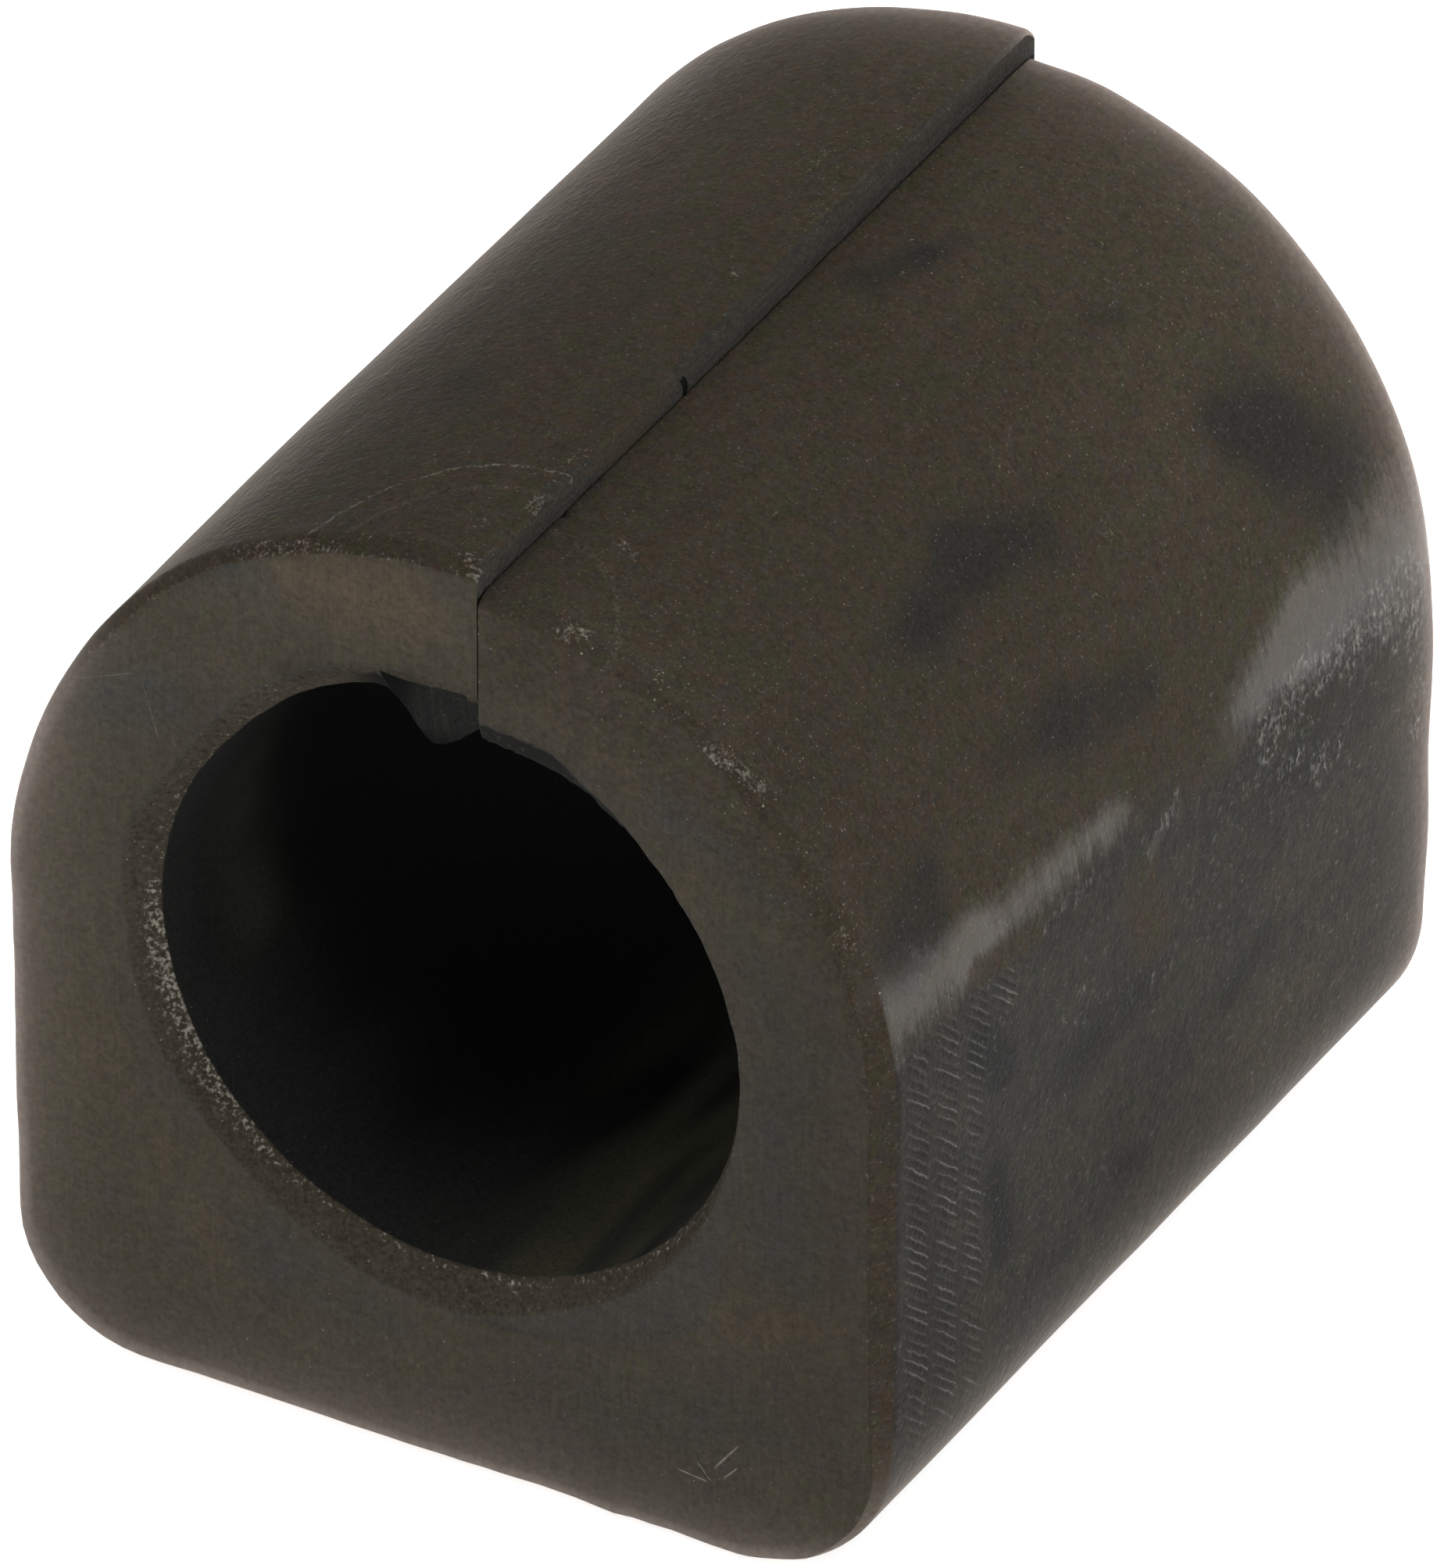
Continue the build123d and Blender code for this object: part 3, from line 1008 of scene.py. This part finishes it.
    def rubber(
        self,
        colour: bpy.types.NodeSocket,
        rough: "Value | float",
        specular: float,
        bump: bpy.types.Node,
        sheen: float = 0.0,
        tint: Tone = (1.0, 1.0, 1.0),
    ) -> bpy.types.NodeSocket:
        """One rubber surface.

        Args:
            colour: Its colour.
            rough: Its roughness.
            specular: How strongly it reflects, which is the same all over.
            bump: The node that shapes its small relief.
            sheen: How much its dust shines at a grazing angle, which is the same all over.
            tint: Colour of what it reflects, which is the same all over.

        Returns:
            The shader's output.
        """
        values = {"Base Color": colour, "Roughness": rough, "Specular IOR Level": specular}
        values |= {"Sheen Weight": sheen, "Sheen Roughness": self.sheen_roughness}
        values |= {"Sheen Tint": (*self.sheen_tint, 1.0), "Specular Tint": (*tint, 1.0)}
        values["Normal"] = bump.outputs["Normal"]
        return self.node("ShaderNodeBsdfPrincipled", {}, values).outputs[0]

    def finished(self, shader: bpy.types.NodeSocket) -> bpy.types.Material:
        """The material, once its surface is this shader."""
        self.tree.links.new(shader, self.output.inputs["Surface"])
        return self.material

    def apart(self) -> tuple[Value, Value, Value]:
        """Object coordinates in millimetres as three numbers."""
        node = self.node("ShaderNodeSeparateXYZ", {}, {0: self.place()})
        return Value(self, node.outputs[0]), Value(self, node.outputs[1]), Value(self, node.outputs[2])


@dataclass(frozen=True)
class Dust:
    """Brown film on the outside and on the upper right of the near end, in soft patches of three tints."""

    russet: Tone = (0.0385, 0.0256, 0.0178)
    olive: Tone = (0.0292, 0.0288, 0.0150)
    mauve: Tone = (0.0318, 0.0268, 0.0240)

    def on(self, s: NodeSheet, hue: Value) -> bpy.types.NodeSocket:
        """The film's colour on a sheet, where hue is a slow drift from -1 to 1."""
        patch = s.noise(s.place(), 0.85, 2.0, 0.72)
        cast = s.noise(s.place(), 1.5, 1.0, 0.7)
        tint = s.blend((0.5 + 2.6 * (patch - 0.5) + 0.35 * hue).held(), self.russet, self.olive)
        return s.blend((0.15 + 2.6 * (cast - 0.5)).held(), tint, self.mauve)


@dataclass(frozen=True)
class WornSkin:
    """Outside of the block: dark rubber under a brown film, rubbed bare in places, polished on one flank.

    A matte shader and a polished one are mixed, by how far the rubber is rubbed smooth. Ripple crests and
    crease ridges carry painted highlights and their troughs and hollows painted shade; the outer edges
    carry a painted pale glow, and the right lip along the slit painted shade.
    """

    bare: Tone = (0.0190, 0.0182, 0.0150)
    face: Tone = (0.0405, 0.0345, 0.0250)
    flank: Tone = (0.0180, 0.0185, 0.0175)
    slate: Tone = (0.0115, 0.0128, 0.0138)
    chalk: Tone = (0.200, 0.188, 0.160)
    # Colour of the painted glow along the outer edges.
    pale: Tone = (0.300, 0.250, 0.222)
    # Colour of the painted highlights on crease ridges and ripple crests, also used for the flank's pale
    # flecks.
    painted_glint: Tone = (0.230, 0.225, 0.210)
    cut: Tone = (0.0272, 0.0256, 0.0212)
    matte_roughness: float = 0.85
    matte_specular: float = 0.08
    polished_roughness: float = 0.34
    polished_specular: float = 0.5
    polished_tint: Tone = (1.0, 0.91, 0.85)
    sheen: float = 0.27
    ripple_width: float = 2.7
    ripple_step: float = 0.62

    def material(self) -> bpy.types.Material:
        """The worn skin.

        Returns:
            A material that reads the block's attributes and Object coordinates.
        """
        s = NodeSheet("worn_skin")
        x, y, z = s.apart()
        here = s.place()
        fine, mottle, medium = s.grains()
        sparks = s.noise(here, 8.0, 0.0)
        bevel, drift, hue = s.read("bevel"), s.read("drift"), s.read("hue")
        hairs = s.noise(s.place(0.25, 4.4, 0.3), 1.0, 1.0, 0.7)

        # Smudges rub the film off to bare rubber; along the slit this darkening is painted shade.
        rubbed_off_and_shade = s.read("smudge_and_shade") * (0.5 + medium) + 0.6 * (mottle - 0.5) + 0.7 * (medium - 0.5)
        film = 1.0 - (rubbed_off_and_shade + 0.15 * drift).step(0.05, 1.1)
        dust = Dust().on(s, hue)
        colour = s.blend(film, self.bare, dust)

        strip = (z + 0.4 * (medium - 0.5)).step(8.5, 5.0) * x.step(20.3, 21.2)
        strip = strip * (1.0 - bevel.step(0.9, 0.97))
        turned = (y + 2.6 * (medium - 0.5) + 1.4 * (mottle - 0.5)).step(-22.8, -26.0) * x.step(1.8, 2.1)
        colour = s.blend(0.3 * turned * (1.0 - strip), colour, self.face)

        flank = s.read("flank")
        below = z.step(6.5, 3.6) * z.step(-2.5, 0.5)
        streak = (s.read("streak") + 1.1 * below * (hairs - 0.5) + 0.5 * (mottle - 0.5)).step(0.25, 0.85)
        clean = flank * (1.0 - 0.9 * streak)
        dark = (s.read("cool") * (0.5 + medium) + 0.3 * hue + 0.6 * (mottle - 0.5)).step(0.1, 0.95)
        flank_tone = s.blend((0.22 + 0.9 * (medium - 0.5) + 0.45 * hue).held(), self.flank, dust)
        flank_tone = s.blend(dark, flank_tone, self.slate)
        flank_tone = s.blend(0.8 * (s.read("warm") + 0.5 * (mottle - 0.5)).held(), flank_tone, dust)
        colour = s.blend(clean * 0.85, colour, flank_tone)
        colour = s.blend(strip, colour, dust)
        lip = s.read("lip") + 0.3 * (mottle - 0.5) + 0.2 * (fine - 0.5)
        colour = s.blend(0.92 * lip.step(-0.06, 0.06), colour, self.cut)

        rim = bevel.near(0.0, 0.3) * (1.0 - x.step(1.8, 2.1)) + 0.5 * bevel.near(0.96, 0.08) * strip
        scuff = s.read("scuff")
        worn = (0.4 * rim + 0.75 * scuff + 1.6 * (fine - 0.5) + 0.8 * (mottle - 0.5)).step(0.45, 1.1)
        ring = (s.read("ring") + 0.5 * (medium - 0.5)).near(0.0, 0.16)
        ring = ring.most(0.22 * (s.read("ring") + 0.5 * (medium - 0.5)).near(-1.9, 0.3))
        ring = ring.most(0.2 * (s.read("ring_right") + 0.5 * (medium - 0.5)).near(0.0, 0.35))
        lip_chalk = lip.near(-0.12, 0.16) * s.read("grit").held() * (2.6 * (mottle - 0.38)).held()
        light = worn.most(ring * (3.4 * (fine - 0.4)).held()).most(lip_chalk)
        colour = s.blend(0.5 * light, colour, self.chalk)

        grit = 0.28 + 0.5 * s.read("grit") + 0.7 * scuff - 0.1 * clean + 0.6 * (medium - 0.5)
        larger = s.specks(here, 1.1, 0.1, 0.9 * grit + 0.4 * scuff)
        dots = s.specks(here, 3.0, 0.19, grit).most(1.3 * larger)
        dots = dots.most(0.55 * (sparks + 0.09 * grit).step(0.75, 0.9))
        colour = s.blend(0.68 * dots, colour, self.chalk)

        # Creases: a ridge that takes a painted highlight, and a hollow beside it that takes painted shade.
        wrinkle = s.noise(s.place(0.8, 1.7, 0.8), 1.5, 1.0, 0.6) - 0.5
        folded = (s.read("crease") + 0.22 * clean + 1.5 * (medium - 0.5)).step(0.55, 1.0)
        ridge = (1.0 - 11.0 * s.math("ABSOLUTE", wrinkle)).held() * folded
        crease_shade = (wrinkle - 0.09).near(0.0, 0.06) * folded
        # Ripples: the crests shape the bump and take a painted highlight; the troughs under them painted
        # shade.
        crest, trough = self._ripples(s, y, z, medium, drift)
        relief = crest * flank
        crest, trough = crest * clean, trough * clean
        # Pale flecks of the clean flank's grain, in the colour of the painted glints.
        fleck = s.noise(s.place(1.0, 0.5, 1.0), 4.0, 0.0)
        colour = s.blend(0.14 * clean * fleck.step(0.68, 0.9), colour, self.painted_glint)
        # Painted highlights along the crease ridges and the ripple crests.
        painted_glint = (0.55 * ridge * (2.4 * (mottle - 0.35)).held() + 0.42 * crest).held()
        colour = s.blend(painted_glint, colour, self.painted_glint)
        grain = 1.0 + 0.95 * (fine - 0.5) + 0.6 * (mottle - 0.5) + 0.4 * (medium - 0.5) - 0.06 * drift
        # Painted shade in the crease hollows and the ripple troughs.
        grain = grain * (1.0 - 0.5 * crease_shade) * (1.0 - 0.38 * trough)
        # tone lightens and darkens in patches, partly painted light.
        colour = s.shade(colour, s.read("tone") * grain)
        # Painted pale glow along the outer edges, as strong as the rim attribute says.
        colour = s.blend(s.read("rim") * (0.7 + 0.6 * mottle), colour, self.pale)

        brushed = (below + 0.6 * y.step(6.0, 12.0)).held() * (hairs - 0.5)
        polish = s.read("polish") + brushed + 0.4 * (medium - 0.5) + 0.3 * (mottle - 0.5)
        polish = (polish - 0.3 * ridge).step(0.1, 1.15) * (1.0 - 0.85 * streak)
        gloss = 0.7 * polish + 0.05 * clean * (1.0 - 0.5 * dark) + 0.12 * ridge + 0.07 * crest
        gloss = gloss * (1.0 - strip)

        grained = 0.045 * mottle + 0.04 * medium
        height = grained * (1.0 - 0.6 * s.read("polish").held()) + 0.08 * relief
        bump = s.node("ShaderNodeBump", {}, {"Strength": 1.0, "Distance": MM, "Height": height})
        matte = s.rubber(colour, self.matte_roughness, self.matte_specular, bump, self.sheen)
        rough = self.polished_roughness + 0.12 * mottle
        smooth = s.rubber(colour, rough, self.polished_specular, bump, tint=self.polished_tint)
        mixed = s.node("ShaderNodeMixShader", {}, {0: gloss.held(), 1: matte, 2: smooth})
        return s.finished(mixed.outputs[0])

    def _ripples(self, s: NodeSheet, y: Value, z: Value, medium: Value, drift: Value) -> tuple:
        """Moulding ripples behind the strip: short crests in columns, one above the other.

        Args:
            s: The sheet to draw on.
            y: Place along the bore in millimetres.
            z: Height in millimetres.
            medium: Noise that shifts the crests a little.
            drift: Slow unevenness that shifts them further apart.

        Returns:
            How far a place is on a crest, and how far in the trough under one, each from 0 to 1. A crest
            swells towards the right end of its column and bends down there, and has a strength by chance.
        """
        column = (y + 24.4) / self.ripple_width + 0.35 * (medium - 0.5)
        number = s.math("FLOOR", column)
        inside = s.math("FRACT", column)
        phase = (z + 0.8 * y) / self.ripple_step + 0.45 * number + 0.25 * inside * inside
        phase = phase + 0.3 * (medium - 0.5) + 0.15 * drift
        level = s.math("FRACT", phase)
        luck = s.math("FRACT", 437.5 * s.math("SINE", 12.99 * number + 78.23 * s.math("FLOOR", phase)))
        window = inside.step(0.0, 0.6) * inside.step(1.0, 0.88)
        edge = y + 1.6 * (medium - 0.5)
        reach = edge.step(-24.7, -23.9) * (edge - 4.2 * z.step(-1.5, 1.5)).step(-16.2, -17.8)
        tall = (z + 1.2 * (medium - 0.5)).step(3.4, 1.8) * z.step(-20.5, -17.0)
        strong = reach * tall * window
        crest = level.near(0.62, 0.19) * strong * (0.08 + 1.0 * luck * luck)
        return crest, level.near(0.25, 0.3) * strong


@dataclass(frozen=True)
class TrimmedEnd:
    """Both ends: rubber trimmed flat with fine upright marks, and the worn band round the bore's mouth."""

    face: Tone = (0.0440, 0.0340, 0.0240)
    leaf: Tone = (0.0372, 0.0365, 0.0236)
    heather: Tone = (0.0412, 0.0335, 0.0292)
    warm: Tone = (0.0520, 0.0400, 0.0262)
    cool: Tone = (0.0330, 0.0333, 0.0300)
    band: Tone = (0.0330, 0.0280, 0.0190)
    flare: Tone = (0.0060, 0.0061, 0.0048)
    chalk: Tone = (0.200, 0.185, 0.155)
    # Colour of the painted glow along the outer edges.
    pale: Tone = (0.300, 0.250, 0.222)
    roughness: float = 0.8
    specular: float = 0.1
    scratches: tuple = (
        ((12.05, -21.75), (13.75, -21.95), 0.07),
        ((13.1, -20.95), (13.9, -21.9), 0.05),
        ((13.95, -21.2), (15.35, -19.35), 0.08),
        ((14.5, -21.5), (15.3, -20.6), 0.05),
    )
    hairlines: tuple = (
        ((-19.6, 10.7), (-15.6, 12.4), 0.05),
        ((-15.6, 12.4), (-14.5, 8.6), 0.05),
        ((17.6, -13.2), (18.3, -14.6), 0.05),
    )

    def _drawn(self, s: NodeSheet, x: Value, z: Value, lines: tuple) -> Value:
        """All the scratches of a list together: 1 on any of them and 0 off them."""
        drawn = s.stroke(x, z, *lines[0])
        for line in lines[1:]:
            drawn = drawn.most(s.stroke(x, z, *line))
        return drawn

    def material(self) -> bpy.types.Material:
        """The trimmed ends.

        Returns:
            A material that reads the block's attributes and Object coordinates.
        """
        s = NodeSheet("trimmed_end")
        x, y, z = s.apart()
        here = s.place()
        fine, mottle, medium = s.grains()
        mouth_in, crescent_in, edge_in = s.read("mouth_in"), s.read("crescent_in"), s.read("edge_in")
        drift, hue = s.read("drift"), s.read("hue")
        patch = s.noise(here, 0.85, 2.0, 0.72)
        hatch = s.noise(s.place(6.0, 0.5, 0.28), 1.0, 1.0, 0.7)
        dust = Dust().on(s, hue)
        on_near = y.step(0.0, -1.0)

        film = Dust(self.face, self.leaf, self.heather).on(s, hue)
        share = (s.read("warm") * (0.5 + medium) + 0.35 * hue + 1.4 * (patch - 0.5)).step(-0.1, 1.2)
        colour = s.blend(share, film, self.warm)
        share = (s.read("cool") * (0.5 + medium) - 0.35 * hue - 1.2 * (patch - 0.5)).step(-0.1, 1.2)
        colour = s.blend(share, colour, self.cool)
        colour = s.blend(0.55 * crescent_in.step(-0.02, 0.06), colour, self.cool)
        inwards = edge_in + 3.2 * z.step(15.0, 5.0) + 3.0 * (medium - 0.5) + 0.8 * (mottle - 0.5)
        dusty = inwards.step(5.6, 1.8) * x.step(1.8, 2.1) * z.step(0.0, 5.0) * on_near
        colour = s.shade(colour, 0.82 + 0.36 * hatch)
        colour = s.blend(0.7 * dusty, colour, dust)

        in_band = (mouth_in + 0.3 * (mottle - 0.5) + 0.1 * (fine - 0.5)).step(-0.06, 0.12)
        scooped = (mouth_in + 0.5 * (medium - 0.5)).step(0.35, 0.8).most(x.step(1.8, 2.1))
        flared = in_band * z.step(11.0, 12.5) * x.step(-5.5, -3.0) * on_near * scooped
        colour = s.blend(in_band, colour, self.band)
        # The flared part of the band is near black like the bore; painted shade deepens it towards the
        # left.
        colour = s.blend(flared, colour, self.flare)
        colour = s.shade(colour, 1.0 - 0.85 * x.step(-0.6, -2.6) * flared)
        fanned = (hatch + 0.5 * (mottle - 0.5)).step(0.45, 0.75) * mouth_in.step(3.0, 1.8)
        fanned = fanned * x.step(-1.8, -0.4) * x.step(1.7, 0.5)
        left = (0.1 * z - 1.0 * x).step(3.0, 14.0) * z.step(4.0, -3.0)
        inner = s.read("bore_in").near(-0.2, 0.35 + 0.95 * left)
        grains = (1.8 * (mottle - 0.5) + 2.4 * (fine - 0.5) + inner * (0.05 + 0.5 * left)).step(0.3, 1.0)
        marked = 0.65 * grains * inner * in_band * (1.0 - 0.7 * flared) + 0.08 * fanned * flared
        colour = s.blend(marked, colour, self.chalk)

        rim = edge_in.near(0.0, 0.4) * (1.0 - x.step(1.8, 2.1) * z.step(4.0, 10.0))
        worn = 0.3 * rim + 0.5 * s.read("scuff") + 1.6 * (fine - 0.5) + 0.8 * (mottle - 0.5)
        colour = s.blend(0.5 * worn.step(0.45, 1.1), colour, self.chalk)
        broken = (0.2 + 1.3 * mottle).held() * on_near
        colour = s.blend(0.85 * self._drawn(s, x, z, self.scratches) * broken, colour, self.chalk)
        colour = s.blend(0.22 * self._drawn(s, x, z, self.hairlines) * broken, colour, self.chalk)

        grit = 0.3 + 0.8 * s.read("grit") + 0.35 * in_band + 0.4 * dusty + 0.4 * (medium - 0.5)
        dots = s.specks(here, 3.0, 0.17, grit).most(1.3 * s.specks(here, 0.9, 0.075, 0.3 * grit))
        colour = s.blend(0.55 * dots * (1.0 - 0.8 * flared), colour, self.chalk)
        rough = in_band.most(0.4 * dusty)
        grain = 1.0 + (0.75 + 0.75 * rough) * (fine - 0.5) + (0.5 + 0.4 * rough) * (mottle - 0.5)
        # tone lightens and darkens in patches, partly painted light.
        colour = s.shade(colour, s.read("tone") * (grain + 0.3 * (medium - 0.5) + 0.07 * drift))
        # Painted pale glow along the outer edges, as strong as the rim attribute says.
        colour = s.blend(s.read("rim") * (0.7 + 0.6 * mottle), colour, self.pale)

        height = 0.025 * fine + 0.03 * medium
        bump = s.node("ShaderNodeBump", {}, {"Strength": 1.0, "Distance": MM, "Height": height})
        shader = s.rubber(colour, self.roughness, self.specular, bump)
        return s.finished(shader)


@dataclass(frozen=True)
class DarkBore:
    """Bore wall: bare black rubber, lighter near the mouth, streaked by a bar, with a painted olive sheen.
    """

    wall: Tone = (0.0040, 0.0040, 0.0037)
    mouth: Tone = (0.0170, 0.0170, 0.0162)
    olive: Tone = (0.0540, 0.0520, 0.0330)
    chalk: Tone = (0.160, 0.150, 0.120)
    roughness: float = 0.8
    specular: float = 0.03

    def material(self) -> bpy.types.Material:
        """The bore's wall, darker the deeper it is.

        Returns:
            A material that reads the block's attributes and Object coordinates.
        """
        s = NodeSheet("dark_bore")
        x, y, z = s.apart()
        bore_in = s.read("bore_in")
        fine = s.noise(s.place(), 5.0, 1.0, 0.75)
        streaks = s.noise(s.place(0.25, 0.06, 0.25), 1.0, 1.0, 0.6)
        near_mouth = (bore_in + 8.0 * (streaks - 0.5)).step(15.0, 0.0)
        colour = s.blend(near_mouth, self.wall, self.mouth)
        # Painted olive sheen low in the bore and on its left wall, broken into streaks.
        low = z.step(-6.0, -13.0) * x.step(-4.0, 6.0)
        low = low + 0.3 * x.step(-12.0, -14.4) * bore_in.near(7.0, 4.0)
        colour = s.blend((low.held() * (3.0 * (streaks - 0.33))).held(), colour, self.olive)
        scored = s.noise(s.place(0.3, 0.3, 4.0), 1.0, 1.0, 0.6).step(0.45, 0.75)
        patch = y.near(-1.0, 7.0) * (z + 0.4 * x).near(-1.0, 6.5) * x.step(-10.0, -14.0)
        colour = s.blend(0.3 * scored * patch, colour, self.chalk)
        dots = s.specks(s.place(), 2.4, 0.15, 0.7 * bore_in.step(7.0, 0.0))
        colour = s.blend(0.3 * dots, colour, self.chalk)
        flap = z.step(9.5, 10.5) * y.step(-24.8, -25.0) * x.step(1.8, 1.5)
        hatch = s.noise(s.place(6.0, 0.5, 0.28), 1.0, 1.0, 0.7)
        colour = s.blend(0.06 * flap * hatch.step(0.45, 0.75) * x.step(-3.6, -1.2), colour, self.chalk)
        # Painted shade on the torn flap: darker all over, darkest at its inner edge and towards the left.
        shadow = bore_in.step(0.6, 2.4).most((x + 0.22 * (16.0 - z)).step(-0.6, -2.6))
        colour = s.shade(colour, (0.4 + 1.2 * fine) * (1.0 - flap * (0.35 + 0.5 * shadow)))
        bump = s.node("ShaderNodeBump", {}, {"Strength": 1.0, "Distance": MM, "Height": 0.03 * fine})
        return s.finished(s.rubber(colour, self.roughness, self.specular, bump))


@dataclass(frozen=True)
class CutRubber:
    """The slit's walls: rubber cut with a blade, slightly greyer than the skin, nicked in one place."""

    dark: Tone = (0.0285, 0.0265, 0.0220)
    light: Tone = (0.0405, 0.0375, 0.0310)
    dust: Tone = (0.0400, 0.0330, 0.0235)
    # Colour of the painted shadow low on the wall, inside the gap.
    deep: Tone = (0.0120, 0.0100, 0.0060)
    roughness: float = 0.8
    specular: float = 0.1

    def material(self) -> bpy.types.Material:
        """The cut rubber, with fine marks along the cut, and one black nick across the left wall.

        Returns:
            A material that reads Object coordinates.
        """
        s = NodeSheet("cut_rubber")
        _, y, z = s.apart()
        fine, mottle, medium = s.grains()
        along_cut = s.noise(s.place(1.0, 0.5, 4.0), 1.0, 1.0, 0.6)
        colour = s.blend((along_cut + 0.5 * (fine - 0.5)).step(0.3, 0.85), self.dark, self.light)
        closed = z + 1.2 * y.near(-12.0, 5.5) + 0.8 * (mottle - 0.5) + 0.6 * (medium - 0.5)
        colour = s.blend(closed.step(23.0, 23.3), colour, self.dust)
        rise = (z - 22.0) / 1.35
        bend = y + 6.95 + 0.55 * rise - 1.3 * rise * (1.0 - rise)
        nick = bend.near(0.0, 0.4) * z.step(21.7, 21.9)
        # Painted shadow: below the right lip's top, inside the gap, the wall is painted deep and darkened.
        shadow = (z + 0.25 * (mottle - 0.5)).step(22.1, 21.95)
        dark = (1.0 - 0.97 * nick.step(0.25, 0.5)) * (1.0 - 0.5 * shadow)
        colour = s.blend(shadow, colour, self.deep)
        colour = s.shade(colour, (0.5 + fine) * dark)
        height = 0.03 * along_cut + 0.03 * fine
        bump = s.node("ShaderNodeBump", {}, {"Strength": 1.0, "Distance": MM, "Height": height})
        return s.finished(s.rubber(colour, self.roughness, self.specular, bump))


# Studio


@dataclass
class Studio:
    """Pale floor, soft light all round and the camera."""

    floor_height: float = -25.72
    floor_size: float = 3000.0
    floor_tone: Tone = (0.86, 0.86, 0.86)
    floor_glow: float = 0.68
    sky: float = 0.85
    azimuth: float = 29.3996
    elevation: float = 33.8751
    distance: float = 1446.7
    lens: float = 738.72
    aim: tuple[float, float, float] = (0.0, -25.9, 0.0)
    slide: tuple[float, float] = (12.584, 9.553)

    def floor(self) -> bpy.types.Object:
        """A square floor under the block, which is a stage and no part of it.

        Returns:
            The floor.
        """
        half = self.floor_size / 2 * MM
        z = self.floor_height * MM
        mesh = bpy.data.meshes.new("floor")
        corners = [(-half, -half, z), (half, -half, z), (half, half, z), (-half, half, z)]
        mesh.from_pydata(corners, [], [(0, 1, 2, 3)])
        piece = bpy.data.objects.new("floor", mesh)
        bpy.context.scene.collection.objects.link(piece)
        s = NodeSheet("pale_floor")
        values = {
            "Base Color": (*self.floor_tone, 1.0),
            "Roughness": 1.0,
            "Specular IOR Level": 0.0,
            "Emission Color": (1.0, 1.0, 1.0, 1.0),
            "Emission Strength": self.floor_glow,
        }
        mesh.materials.append(s.finished(s.node("ShaderNodeBsdfPrincipled", {}, values).outputs[0]))
        return piece

    def lights(self) -> None:
        """An even white sky, a broad soft lamp above, and a low one behind, along the right flank."""
        world = bpy.data.worlds.new("studio")
        world.use_nodes = True
        world.node_tree.nodes["Background"].inputs[0].default_value = (1.0, 1.0, 1.0, 1.0)
        world.node_tree.nodes["Background"].inputs[1].default_value = self.sky
        bpy.context.scene.world = world
        self._lamp("top_lamp", (250.0, 150.0, 450.0), 420.0, 0.8)
        self._lamp("flank_lamp", (480.0, 505.0, 110.0), 260.0, 0.8)

    def _lamp(self, name: str, place: tuple[float, float, float], size: float, power: float) -> None:
        """A square area lamp, turned towards the block.

        Args:
            name: The lamp's name.
            place: Where it hangs.
            size: Length of its side.
            power: How many watts it gives.
        """
        light = bpy.data.lights.new(name, "AREA")
        light.size = size * MM
        light.energy = power
        lamp = bpy.data.objects.new(name, light)
        lamp.location = Vector(place) * MM
        lamp.rotation_euler = (-Vector(place)).to_track_quat("-Z", "Y").to_euler()
        bpy.context.scene.collection.objects.link(lamp)

    def camera(self) -> None:
        """The camera, on a long lens, level, at the photograph's angle."""
        az, el = np.radians(self.azimuth), np.radians(self.elevation)
        right = Vector((np.cos(az), np.sin(az), 0.0))
        back = Vector((np.sin(az) * np.cos(el), -np.cos(az) * np.cos(el), np.sin(el)))
        up = back.cross(right)
        data = bpy.data.cameras.new("camera")
        data.sensor_fit = "VERTICAL"
        data.sensor_height = 36.0
        data.lens = self.lens
        data.clip_start = 0.05
        data.clip_end = 20.0
        eye = Vector(self.aim) + back * self.distance + right * self.slide[0] + up * self.slide[1]
        turn = Matrix((right, up, back)).transposed().to_4x4()
        obj = bpy.data.objects.new("camera", data)
        obj.matrix_world = Matrix.Translation(eye * MM) @ turn
        bpy.context.scene.collection.objects.link(obj)
        bpy.context.scene.camera = obj


def main() -> None:
    """Builds the block and the studio."""
    logging.basicConfig(level=logging.INFO, format="%(name)s: %(message)s")
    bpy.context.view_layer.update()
    block = Block()
    piece = block.build()
    block.dress(piece)
    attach(piece, "root")
    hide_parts("bushing")
    log.info("%s: %d vertices, %d faces", piece.name, len(piece.data.vertices), len(piece.data.polygons))
    studio = Studio()
    studio.floor()
    studio.lights()
    studio.camera()
    bpy.context.scene.view_settings.view_transform = "Standard"


if __name__ == "__main__":
    main()
